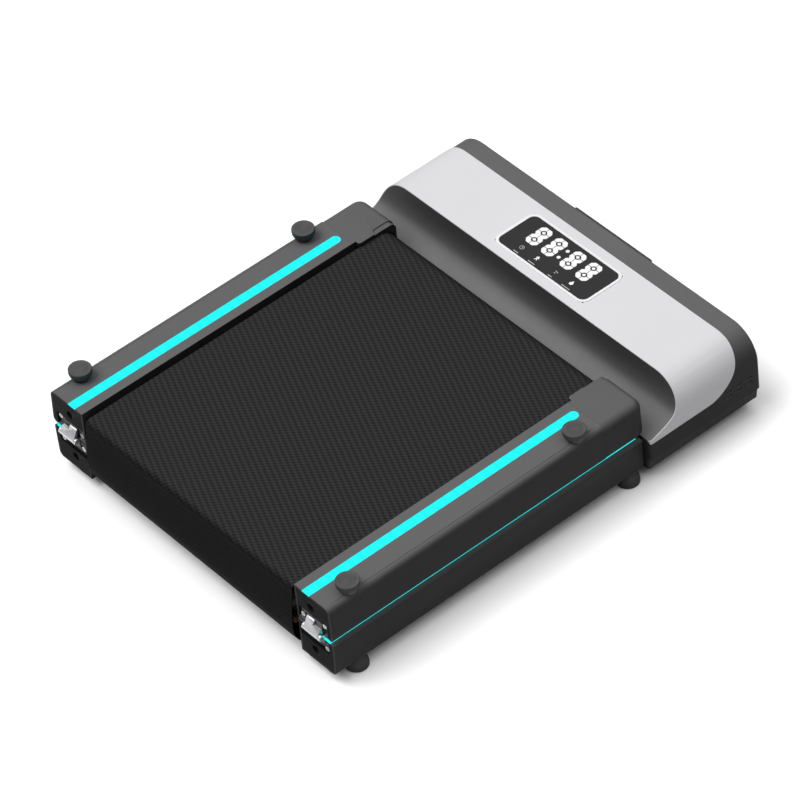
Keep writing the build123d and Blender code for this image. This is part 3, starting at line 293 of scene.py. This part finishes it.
def rubber(name, colour, roughness=0.7, painted_lit_top=None):
    """Moulded rubber with a slightly uneven face; with painted_lit_top its level faces are painted lighter as
    painted light.
    """
    material, tree, shader = new_material(name, colour, roughness, specular=0.2)
    # painted_lit_top paints level faces lighter than upright ones: painted light, not a colour of the rubber
    vary_colour(tree, shader, colour, noise(tree, 120.0, 5.0), 0.12, painted_lit_top)
    vary_gloss(tree, shader, noise(tree, 60.0, 5.0), roughness - 0.08, roughness + 0.08)
    bump(tree, shader, noise(tree, 1800.0, 2.0), 0.5, 0.00006)
    return material


# The belt's grain is two crossing rows of dimples; each row is (cycles per metre across, along the belt).
BELT_ROWS = ((-52.0, 125.0), (160.0, 138.0))
BELT_COLOUR = (0.021, 0.021, 0.0212)
# painted shade: the belt's upright faces, such as the stretch over the fold end, are painted this much darker
# than its level faces
BELT_SIDE_PAINTED_SHADE = (0.004, 0.004, 0.0042)


def belt_material():
    """Black belt with a dimpled grain that follows the belt round its bends; its colour carries painted shade
    in the dimples, a painted highlight on the raised grain, and painted shade on upright faces.
    """
    material, tree, shader = new_material("belt_grain", BELT_COLOUR, 0.66, specular=0.03)
    run = node(tree, "ShaderNodeAttribute", attribute_name="run")
    waves = []
    for row in BELT_ROWS:
        dot = node(tree, "ShaderNodeVectorMath", operation="DOT_PRODUCT")
        dot.inputs[1].default_value = (row[0] * math.tau, row[1] * math.tau, 0)
        tree.links.new(run.outputs["Vector"], dot.inputs[0])
        wave = node(tree, "ShaderNodeMath", operation="COSINE")
        tree.links.new(dot.outputs["Value"], wave.inputs[0])
        waves.append(wave.outputs["Value"])
    total = node(tree, "ShaderNodeMath", operation="ADD")
    tree.links.new(waves[0], total.inputs[0])
    tree.links.new(waves[1], total.inputs[1])
    height = node(tree, "ShaderNodeMapRange", interpolation_type="SMOOTHSTEP")
    height.inputs["From Min"].default_value = -1.7
    height.inputs["From Max"].default_value = 0.9
    tree.links.new(total.outputs["Value"], height.inputs["Value"])
    # painted shade in the dimples and painted highlight on the raised grain: the colour follows the grain's
    # height
    grain_painted_shade = node(tree, "ShaderNodeMapRange")
    grain_painted_shade.inputs["To Min"].default_value = 0.55
    grain_painted_shade.inputs["To Max"].default_value = 1.25
    tree.links.new(height.outputs["Result"], grain_painted_shade.inputs["Value"])
    # painted light: upright faces painted dark as shade, level faces in BELT_COLOUR
    scale = painted_top_light(tree, shader, BELT_SIDE_PAINTED_SHADE, BELT_COLOUR)
    tree.links.new(grain_painted_shade.outputs["Result"], scale.inputs["Scale"])
    vary_gloss(tree, shader, noise(tree, 14.0, 5.0), 0.65, 0.68)
    fine = bump(tree, shader, noise(tree, 2200.0, 2.0), 0.35, 0.00005)
    bump(tree, shader, height.outputs["Result"], 0.9, 0.00035, fine)
    return material


STRIP_GLOW = (0.022, 1.0, 1.0)
LAMP_PITCH = 0.0166
UNLIT_BELOW = 0.03    # the lower half's underside strips lie below this height and are off


def glow_material(name, colour, strength, pitch=0.0):
    """A lit diffuser; pitch spaces the faint bright spots of the lamps behind a strip."""
    material, tree, shader = new_material(name, (0.0, 0.004, 0.004), 0.6, specular=0.0)
    shader.inputs["Emission Color"].default_value = (*colour, 1)
    shader.inputs["Emission Strength"].default_value = strength
    if pitch:
        wave = node(tree, "ShaderNodeMath", operation="SINE")
        split = node(tree, "ShaderNodeSeparateXYZ")
        turn = node(tree, "ShaderNodeMath", operation="MULTIPLY")
        turn.inputs[1].default_value = math.tau / pitch
        tree.links.new(place(tree), split.inputs["Vector"])
        tree.links.new(split.outputs["Y"], turn.inputs[0])
        tree.links.new(turn.outputs["Value"], wave.inputs[0])
        light = node(tree, "ShaderNodeMapRange")
        light.inputs["From Min"].default_value = -1.0
        light.inputs["To Min"].default_value = strength * 0.95
        light.inputs["To Max"].default_value = strength * 1.05
        tree.links.new(wave.outputs["Value"], light.inputs["Value"])
        lit = node(tree, "ShaderNodeMath", operation="GREATER_THAN")
        lit.inputs[1].default_value = UNLIT_BELOW
        tree.links.new(split.outputs["Z"], lit.inputs[0])
        power = node(tree, "ShaderNodeMath", operation="MULTIPLY")
        tree.links.new(light.outputs["Result"], power.inputs[0])
        tree.links.new(lit.outputs["Value"], power.inputs[1])
        tree.links.new(power.outputs["Value"], shader.inputs["Emission Strength"])
    return material


def board_material():
    """Green circuit board with a faint track pattern."""
    colour = (0.02, 0.13, 0.055)
    material, tree, shader = new_material("circuit_board", colour, 0.35)
    cells = node(tree, "ShaderNodeTexBrick", input_Scale=120.0)
    cells.inputs["Color1"].default_value = (*colour, 1)
    cells.inputs["Color2"].default_value = (0.025, 0.16, 0.07, 1)
    cells.inputs["Mortar"].default_value = (0.06, 0.22, 0.1, 1)
    cells.inputs["Mortar Size"].default_value = 0.05
    tree.links.new(place(tree), cells.inputs["Vector"])
    tree.links.new(cells.outputs["Color"], shader.inputs["Base Color"])
    return material


def fibreboard_material():
    """Dark waxed fibreboard."""
    colour = (0.075, 0.055, 0.042)
    material, tree, shader = new_material("fibreboard", colour, 0.5)
    vary_colour(tree, shader, colour, noise(tree, 260.0, 6.0), 0.25)
    bump(tree, shader, noise(tree, 900.0, 4.0), 0.4, 0.00008)
    return material


def glass_material():
    """Smoked display window: nearly black, polished."""
    colour = (0.03, 0.03, 0.031)
    material, tree, shader = new_material("smoked_window", colour, 0.12, specular=0.2)
    vary_colour(tree, shader, colour, noise(tree, 12.0, 2.0), 0.04)
    vary_gloss(tree, shader, noise(tree, 40.0, 5.0), 0.1, 0.14)
    return material


def make_materials():
    """One finish for each material slot of the record."""
    graphite = (0.02, 0.0195, 0.0205)
    # Each painted_lit_top below is a painted highlight on level faces; the darker colour beside it is painted
    # shade on upright faces.
    return {
        "rail_grey": painted("rail_paint", graphite, 0.48, specular=0.05, painted_lit_top=(0.1, 0.1, 0.102)),
        "rail_plug_black": moulded("plug_plastic", (0.008, 0.008, 0.0085), 0.6, specular=0.03),
        "end_cap_grey": moulded(
            "cap_plastic", graphite, 0.52, specular=0.05, painted_lit_top=(0.095, 0.095, 0.097),
        ),
        "light_strip": glow_material("strip_glow", STRIP_GLOW, 1.0, LAMP_PITCH),
        "hinge_steel": hinge_material(),
        "fastener_steel": metal("fastener_metal", (0.55, 0.56, 0.58), 0.32),
        "foot_rubber": rubber("foot_rubber_face", (0.03, 0.03, 0.031), painted_lit_top=(0.07, 0.07, 0.071)),
        "deck_board": fibreboard_material(),
        "frame_paint": painted("frame_paint_black", (0.025, 0.025, 0.027), 0.45),
        "running_belt": belt_material(),
        "roller_steel": metal("roller_metal", (0.6, 0.61, 0.63), 0.25, (0.05, 1, 1)),
        "bearing_steel": metal("bearing_metal", (0.5, 0.51, 0.53), 0.3),
        "pulley_black": moulded("pulley_plastic", (0.03, 0.03, 0.032), 0.35),
        "drive_belt_rubber": rubber("drive_belt_face", (0.018, 0.018, 0.018), 0.6),
        "motor_paint": painted("motor_enamel", (0.03, 0.03, 0.034), 0.3),
        "flywheel_iron": metal("flywheel_face", (0.3, 0.3, 0.31), 0.4),
        "circuit_board": board_material(),
        "heatsink_aluminium": metal("heatsink_metal", (0.75, 0.76, 0.78), 0.35, (1, 0.05, 1)),
        "pan_black": moulded("pan_plastic", (0.018, 0.0175, 0.0185), 0.6, 900.0, 0.0001, 0.12),
        "housing_grey": moulded(
            "housing_plastic", (0.017, 0.0166, 0.0174), 0.52, specular=0.06, painted_lit_top=(0.105, 0.105, 0.107),
        ),
        "scoop_grey": moulded(
            "scoop_plastic", (0.04, 0.04, 0.041), 0.5, specular=0.08, painted_lit_top=(0.15, 0.15, 0.152),
        ),
        "silver_skin": painted(
            "silver_paint", (0.37, 0.362, 0.375), 0.45, specular=0.1, flake=0.12, amount=0.012,
            painted_lit_top=(0.55, 0.55, 0.56),
        ),
        "display_rim": painted("rim_paint", (0.66, 0.66, 0.67), 0.35, specular=0.2),
        "display_glass": glass_material(),
        "panel_black": moulded("panel_plastic", (0.02, 0.02, 0.022), 0.5),
        "rocker_black": moulded("rocker_plastic", (0.018, 0.018, 0.02), 0.25, 2400.0, 0.00002),
        "reset_red": moulded("reset_plastic", (0.4, 0.02, 0.015), 0.3, 2400.0, 0.00002),
        "wheel_plastic": moulded("wheel_nylon", (0.035, 0.035, 0.037), 0.4),
        "digit_glow": glow_material("digit_glow", (1.0, 1.0, 1.0), 1.0),
        "icon_glow": glow_material("icon_glow", (0.62, 0.62, 0.63), 1.0),
    }


# ======================= mesh helpers =======================
def finish_piece(mesh, name, body, slot, stands_for=(), smooth=40.0):
    """Links a mesh as a piece that rides on a body, and gives it its slot's material."""
    piece = bpy.data.objects.new(name, mesh)
    bpy.context.scene.collection.objects.link(piece)
    mesh.materials.clear()
    mesh.materials.append(MATERIALS[slot])
    for face in mesh.polygons:
        face.use_smooth = True
    mesh.set_sharp_from_angle(angle=math.radians(smooth))
    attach(piece, body)
    if stands_for:
        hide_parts(*stands_for)
    return piece


def to_mesh(builder, name):
    """Closes a bmesh into a new mesh with outward faces."""
    bmesh.ops.recalc_face_normals(builder, faces=builder.faces)
    mesh = bpy.data.meshes.new(name)
    builder.to_mesh(mesh)
    builder.free()
    return mesh


WELD = 0.000002
SHARP_ANGLE = math.radians(35)


def eased_copy(name, source, body, slot, width, smooth=35.0):
    """A copy of a CAD node whose sharp edges are eased by a narrow bevel."""
    builder = bmesh.new()
    builder.from_mesh(frame["nodes"][source].data)
    bmesh.ops.remove_doubles(builder, verts=builder.verts, dist=WELD)
    bmesh.ops.dissolve_limit(
        builder, angle_limit=math.radians(0.4), verts=builder.verts, edges=builder.edges,
    )
    piece = finish_piece(to_mesh(builder, name), name, body, slot, [source], smooth)
    ease = piece.modifiers.new("ease", "BEVEL")
    ease.width = width
    ease.segments = 2
    ease.limit_method = "ANGLE"
    ease.angle_limit = SHARP_ANGLE
    ease.harden_normals = True
    ease.use_clamp_overlap = True
    return piece


# ======================= running belt =======================
BELT_COLUMNS = 40
BELT_THICK = 1.3 * MM
BELT_EDGE_FROM = 0.985             # share of the half width where the belt's edge starts to round off
BELT_EDGE_DROP = 0.3 * MM
RUN_STEPS, WRAP_STEPS = 60, 28
SEAM_GAP = 2 * MM                  # how far the walking runs stop short of the fold end
FOLD_BULGE_DROP = 60.15 * MM       # from the top of the fold-end stretch down to its furthest point
FOLD_TUCK = 7 * MM                 # how far that stretch turns in under the lower half
FOLD_HANDLES = (14 * MM, 24 * MM, 16 * MM)


def belt_mesh(name, path, half_width, start=0.0):
    """A belt of real thickness along a path of (y, z) points on its outer face.

    The belt's body lies to the left of the path's direction. The attribute run holds the distance
    across and along the belt, which the grain follows."""
    length = start
    rows = []
    for i, (y, z) in enumerate(path):
        before = path[max(i - 1, 0)]
        after = path[min(i + 1, len(path) - 1)]
        along = Vector((after[0] - before[0], after[1] - before[1])).normalized()
        inward = Vector((-along.y, along.x))
        if i:
            length += math.hypot(y - before[0], z - before[1])
        rows.append(((y, z), inward, length))
    builder = bmesh.new()
    layer = builder.verts.layers.float_vector.new("run")
    outer, inner = [], []
    for (y, z), inward, run in rows:
        for side, depth in ((outer, 0.0), (inner, BELT_THICK)):
            line = []
            for c in range(BELT_COLUMNS + 1):
                across = -1 + 2 * c / BELT_COLUMNS
                x = across * half_width
                past_edge = max(0.0, (abs(across) - BELT_EDGE_FROM) / (1 - BELT_EDGE_FROM))
                drop = BELT_EDGE_DROP * past_edge ** 2
                at_depth = depth + (drop if not depth else -drop)
                vertex = builder.verts.new((x, y + inward.x * at_depth, z + inward.y * at_depth))
                vertex[layer] = (x, run, 0)
                line.append(vertex)
            side.append(line)
    for i in range(len(rows) - 1):
        for c in range(BELT_COLUMNS):
            builder.faces.new((outer[i][c], outer[i][c + 1], outer[i + 1][c + 1], outer[i + 1][c]))
            builder.faces.new((inner[i][c], inner[i + 1][c], inner[i + 1][c + 1], inner[i][c + 1]))
        for c in (0, BELT_COLUMNS):
            builder.faces.new((outer[i][c], outer[i + 1][c], inner[i + 1][c], inner[i][c]))
    for row in (0, -1):
        for c in range(BELT_COLUMNS):
            builder.faces.new((outer[row][c], inner[row][c], inner[row][c + 1], outer[row][c + 1]))
    return to_mesh(builder, name), length


def arc_points(centre, radius, start, end, steps):
    """Points on an arc in the YZ plane; angles in degrees from +Y towards +Z."""
    turns = [math.radians(start + (end - start) * i / steps) for i in range(steps + 1)]
    return [(centre[0] + radius * math.cos(t), centre[1] + radius * math.sin(t)) for t in turns]


def line_points(start, end, steps):
    """Evenly spaced points between two, both left out."""
    return [
        (start[0] + (end[0] - start[0]) * i / steps, start[1] + (end[1] - start[1]) * i / steps)
        for i in range(1, steps)
    ]


def bezier_points(p, steps):
    """Points on a cubic curve with four control points, the first left out."""
    points = []
    for i in range(1, steps + 1):
        t = i / steps
        weights = ((1 - t) ** 3, 3 * t * (1 - t) ** 2, 3 * t * t * (1 - t), t ** 3)
        points.append(tuple(sum(w * q[k] for w, q in zip(weights, p)) for k in (0, 1)))
    return points


def make_belt():
    """The endless belt in three pieces: upper half, the stretch over the fold end, lower half.

    Each piece starts at the run length where the one before it ends, so the grain goes on."""
    upper_low, upper_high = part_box("belt_upper")
    lower_low, lower_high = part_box("belt_lower")
    fold_low, fold_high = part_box("belt_fold")
    half_width = upper_high.x
    turn = upper_high.z - fold_high.z
    turn_centre = (upper_low.y + turn, fold_high.z)
    rear_low, rear_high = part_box("rear_roller_tube")
    front_low, front_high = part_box("front_roller_tube")
    rear = ((rear_low.y + rear_high.y) / 2, (rear_low.z + rear_high.z) / 2)
    front = ((front_low.y + front_high.y) / 2, (front_low.z + front_high.z) / 2)
    wrap = upper_high.y - rear[0]
    walk_end = upper_low.y + SEAM_GAP

    path = arc_points(turn_centre, turn, 180, 90, 10)
    path += line_points((turn_centre[0], upper_high.z), (rear[0], upper_high.z), RUN_STEPS)
    path += arc_points(rear, wrap, 90, -90, WRAP_STEPS)
    path += line_points((rear[0], upper_low.z), (walk_end, upper_low.z), RUN_STEPS)
    path.append((walk_end, upper_low.z))
    path.reverse()
    mesh, length = belt_mesh("belt_over_upper_deck", path, half_width)
    finish_piece(mesh, "belt_over_upper_deck", UPPER, "running_belt", ["belt_upper"])

    top = (upper_low.y, fold_high.z)
    bulge = (fold_low.y, top[1] - FOLD_BULGE_DROP)
    end = (lower_low.y + FOLD_TUCK, lower_low.z)
    leave, arrive, onward = FOLD_HANDLES
    curtain = [top]
    curtain += bezier_points((top, (top[0], top[1] - leave), (bulge[0], bulge[1] + arrive), bulge), 24)
    curtain += bezier_points((bulge, (bulge[0], bulge[1] - onward), (end[0] - FOLD_TUCK, end[1]), end), 18)
    mesh, length = belt_mesh("belt_over_fold_end", curtain, half_width, length)
    piece = finish_piece(mesh, "belt_over_fold_end", LOWER, "running_belt", ["belt_fold"])
    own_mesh(piece)

    path = [end]
    path += line_points(end, (front[0], lower_low.z), RUN_STEPS)
    path += arc_points(front, wrap, -90, 90, WRAP_STEPS)
    path += line_points((front[0], lower_high.z), (walk_end, lower_high.z), RUN_STEPS)
    path.append((walk_end, lower_high.z))
    mesh, _ = belt_mesh("belt_over_lower_deck", path, half_width, length)
    finish_piece(mesh, "belt_over_lower_deck", LOWER, "running_belt", ["belt_lower"])


# ======================= light strips =======================
STRIP_EDGE = 0.263      # the outer flank of the strips beside the belt
STRIP_LIP = 0.2646      # how far their faces reach out over the rails' rounding
STRIP_FACES = (0.0712, 0.0737)    # heights of the lower and upper half's lit faces in the gap
FACE_REACH = 0.0003


def make_strips():
    """The light strips, with the faces of those beside the belt reaching over the rails' rounding."""
    for node_name, body in (("light_strips_lower", LOWER), ("light_strips_upper", UPPER)):
        builder = bmesh.new()
        builder.from_mesh(frame["nodes"][node_name].data)
        for vertex in builder.verts:
            on_face = min(abs(vertex.co.z - level) for level in STRIP_FACES) < FACE_REACH
            if abs(vertex.co.x) > STRIP_EDGE and on_face:
                vertex.co.x = math.copysign(STRIP_LIP, vertex.co.x)
        name = node_name + "_lens"
        finish_piece(to_mesh(builder, name), name, body, "light_strip", [node_name], 35.0)


# ======================= feet =======================
FOOT_RADIUS = 15.2
FOOT_HEIGHT = 16.6
FOOT_RINGS = (2.3, 4.6, 6.5, 8.4, 10.5)
SOLE_LEVEL = 0.25
FOOT_GROOVE = ((-0.6, SOLE_LEVEL), (-0.3, 0.35), (0.0, 0.6), (0.3, 0.35), (0.6, SOLE_LEVEL))
FOOT_SIDE = (
    (11.6, SOLE_LEVEL), (13.1, SOLE_LEVEL), (13.5, 0.05), (14.0, 0.0), (14.7, 0.2), (15.1, 0.65),
    (FOOT_RADIUS, 1.2), (FOOT_RADIUS, 5.6), (15.05, 6.5), (14.6, 8.0), (13.8, 9.9), (12.8, 11.5),
    (11.6, 13.2), (10.8, 14.2), (10.3, 15.2), (10.0, FOOT_HEIGHT), (3.2, FOOT_HEIGHT), (3.2, 6.0),
    (0.0, 6.0),
)
SEAT_REACH = 0.1                   # the foot's top face lies within this of its full height
RAIL_FLAT_EDGE = 0.2678            # where the rail's side meets the level of its face
RAIL_CORNER = {"feet_lower": 0.007, "feet_upper": 0.009}


def foot_profile():
    """The foot's outline as (radius, height): a sole with fine ring grooves, then its side."""
    profile = [(0.0, SOLE_LEVEL)]
    for ring in FOOT_RINGS:
        profile += [(ring + across, level) for across, level in FOOT_GROOVE]
    return profile + list(FOOT_SIDE)


def add_lathe(builder, profile, centre, sign, segments=56):
    """Turns a profile of (radius, height) in millimetres about Z; sign -1 hangs it upside down."""
    rings = []
    for radius, height in profile:
        z = centre[2] + sign * height * MM
        if radius == 0.0:
            rings.append([builder.verts.new((centre[0], centre[1], z))])
            continue
        ring = []
        for s in range(segments):
            turn = math.tau * s / segments
            ring.append(builder.verts.new((
                centre[0] + radius * MM * math.cos(turn), centre[1] + radius * MM * math.sin(turn), z,
            )))
        rings.append(ring)
    for low, high in zip(rings, rings[1:]):
        for s in range(segments):
            t = (s + 1) % segments
            corners = [low[s % len(low)], low[t % len(low)], high[t % len(high)], high[s % len(high)]]
            unique = list(dict.fromkeys(corners))
            if len(unique) > 2:
                builder.faces.new(unique)


def make_feet():
    """Rubber feet with ring grooves in their soles, four on each half, seated on the rails' rounding."""
    for node_name, body, sign in (("feet_lower", LOWER, 1), ("feet_upper", UPPER, -1)):
        low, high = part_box(node_name)
        radius = FOOT_RADIUS * MM
        sole = low.z if sign > 0 else high.z
        builder = bmesh.new()
        for x in (low.x + radius, high.x - radius):
            for y in (low.y + radius, high.y - radius):
                add_lathe(builder, foot_profile(), (x, y, sole), sign)
        corner = RAIL_CORNER[node_name]
        for vertex in builder.verts:
            over = abs(vertex.co.x) - (RAIL_FLAT_EDGE - corner)
            at_rail = abs(vertex.co.z - sole) > (FOOT_HEIGHT - SEAT_REACH) * MM
            if at_rail and over > 0:
                vertex.co.z += sign * (corner - math.sqrt(corner ** 2 - over ** 2))
        name = node_name.replace("feet", "rubber_feet")
        finish_piece(to_mesh(builder, name), name, body, "foot_rubber", [node_name], 50.0)


# ======================= display =======================
def add_plate(builder, outline, z, thickness):
    """A thin flat shape from its outline of (x, y) points."""
    bottom = [builder.verts.new((x, y, z)) for x, y in outline]
    top = [builder.verts.new((x, y, z + thickness)) for x, y in outline]
    builder.faces.new(reversed(bottom))
    builder.faces.new(top)
    for i in range(len(outline)):
        j = (i + 1) % len(outline)
        builder.faces.new((bottom[i], bottom[j], top[j], top[i]))


def disc_outline(x, y, radius, segments=28):
    """A round outline."""
    turns = [math.tau * i / segments for i in range(segments)]
    return [(x + radius * math.cos(t), y + radius * math.sin(t)) for t in turns]


def add_ring(builder, x, y, outer, inner, z, thickness, segments=32):
    """A thin ring, as short plates side by side."""
    for i in range(segments):
        a, b = math.tau * i / segments, math.tau * (i + 1) / segments
        corners = ((inner, a), (outer, a), (outer, b), (inner, b))
        add_plate(builder, [(x + r * math.cos(t), y + r * math.sin(t)) for r, t in corners], z, thickness)


# One cell of a digit, in millimetres: an octagon ring of four mitred bars round a small lit diamond.
CELL_HALF = (10.0, 9.4)
CELL_CUT = 4.3
CELL_HOLE = (4.9, 4.3)
BAR_GAP = 0.45
DIAMOND = ((3.1, 0), (0, 2.7), (-3.1, 0), (0, -2.7))

# Places on the display, in millimetres from its middle.
MARK_RAISE = 0.06
LOOP_PITCH = 16.2
DIGIT_X = (-47.0, -18.0, 17.0, 46.5)
DIGIT_Y = 9.3
COLON_RADIUS = 2.6
COLON_DOTS = ((-0.5, 16.0), (-0.5, 0.6))
MARK_Y = -19.5
CLOCK_RING = (3.3 * MM, 2.7 * MM)
CLOCK_HANDS = (
    ((-0.3, 0), (0.3, 0), (0.3, 2.0), (-0.3, 2.0)),
    ((0, -0.3), (1.6, -0.3), (1.6, 0.3), (0, 0.3)),
)
DASH = ((-1.4, -0.4), (1.4, -0.4), (1.6, 0.4), (-1.2, 0.4))
DASHES_AT = ((17.4, -2.6), (19.4, 0.2), (17.0, 0.8))
UNDERLINE_Y = -30.0
UNDERLINE_HALF = (4.5, 6.0, 3.4, 7.4)
WALKER = (
    (-0.9, 3.6), (0.9, 3.6), (1.6, 1.2), (3.0, 0.2), (2.4, -0.5), (0.8, 0.3), (0.4, -0.8),
    (2.2, -3.2), (1.4, -3.9), (-0.6, -1.6), (-1.9, -3.9), (-2.8, -3.4), (-1.4, -0.6), (-1.2, 1.0),
    (-2.4, 0.2), (-2.8, 0.9),
)
FLAME = (
    (0, 4.2), (1.7, 1.6), (3.0, -0.2), (2.6, -2.4), (1.1, -3.6), (-1.1, -3.6), (-2.6, -2.4), (-2.7, -0.2),
    (-1.2, 0.8), (-0.9, 2.4),
)


def cell_bars():
    """The outlines of the bars of one cell, round its centre, as quarter turns of a cut corner."""
    w, h = CELL_HALF
    hx, hy = CELL_HOLE
    bars = []
    for sx in (-1, 1):
        for sy in (-1, 1):
            bars.append([
                (sx * BAR_GAP, sy * h), (sx * (w - CELL_CUT), sy * h), (sx * w, sy * (h - CELL_CUT)),
                (sx * w, sy * BAR_GAP), (sx * hx, sy * BAR_GAP), (sx * (hx - 1.2), sy * (hy - 1.9)),
                (sx * (hx - 2.6), sy * (hy - 0.6)), (sx * BAR_GAP, sy * hy),
            ])
    return bars


def make_display():
    """The lit digits and small marks of the display, standing just proud of its window."""
    low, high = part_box("display_lens")
    z = high.z
    middle = (low.y + high.y) / 2
    thickness = MARK_RAISE * MM

    def mark(outline, dx, dy):
        scaled = [((x + dx) * MM, middle + (y + dy) * MM) for x, y in outline]
        add_plate(builder, scaled, z, thickness)

    builder = bmesh.new()
    for x in DIGIT_X:
        for loop in (-0.5, 0.5):
            y = DIGIT_Y + loop * LOOP_PITCH
            for outline in (*cell_bars(), DIAMOND):
                mark(outline, x, y)
    for x, y in COLON_DOTS:
        mark(disc_outline(0, 0, COLON_RADIUS), x, y)
    finish_piece(to_mesh(builder, "display_digits"), "display_digits", LOWER, "digit_glow")

    builder = bmesh.new()
    add_ring(builder, DIGIT_X[0] * MM, middle + MARK_Y * MM, *CLOCK_RING, z, thickness)
    for hand in CLOCK_HANDS:
        mark(hand, DIGIT_X[0], MARK_Y)
    for x, y in DASHES_AT:
        mark(DASH, x, MARK_Y + y)
    for x, half in zip(DIGIT_X, UNDERLINE_HALF):
        mark([(-half, -0.5), (half, -0.5), (half, 0.5), (-half, 0.5)], x, UNDERLINE_Y)
    finish_piece(to_mesh(builder, "display_marks"), "display_marks", LOWER, "icon_glow")

    builder = bmesh.new()
    mark(WALKER, DIGIT_X[1], MARK_Y)
    mark(FLAME, DIGIT_X[3], MARK_Y)
    finish_piece(to_mesh(builder, "display_symbols"), "display_symbols", LOWER, "digit_glow")


# ======================= carried-over CAD nodes =======================
# CAD nodes shown as copies with eased edges, and the width of the easing in millimetres.
EASED = {
    "rail_lower_left": 0.6, "rail_lower_right": 0.6, "rail_upper_left": 0.6, "rail_upper_right": 0.6,
    "rail_plugs_lower": 0.4, "rail_plugs_upper": 0.4, "end_caps": 0.5,
    "hinge_leaves_lower": 0.5, "hinge_leaves_upper": 0.5,
    "silver_cover": 0.4, "scoop_panel": 0.3, "base_housing": 0.5, "belly_pan": 0.6,
    "display_bezel": 0.25, "rear_panel": 0.3,
}


def dress_frame():
    """Gives every CAD node its slot's finish, and eases the sharp edges of those in view."""
    record = frame["record"]
    slots = {entry["node"]: entry["material_slot"] for entry in record["subparts"]}
    bodies = {name: body for body, names in record["behaviour"]["bodies"].items() for name in names}
    for name, made in frame["nodes"].items():
        if not made.material_slots:
            made.data.materials.append(MATERIALS[slots[name]])
        for entry in made.material_slots:
            entry.material = MATERIALS[slots[name]]
    for name, width in EASED.items():
        eased_copy(name + "_eased", name, bodies[name], slots[name], width * MM)


make_camera()
MATERIALS = make_materials()
make_light()
make_floor()
dress_frame()
make_belt()
make_strips()
make_feet()
make_display()
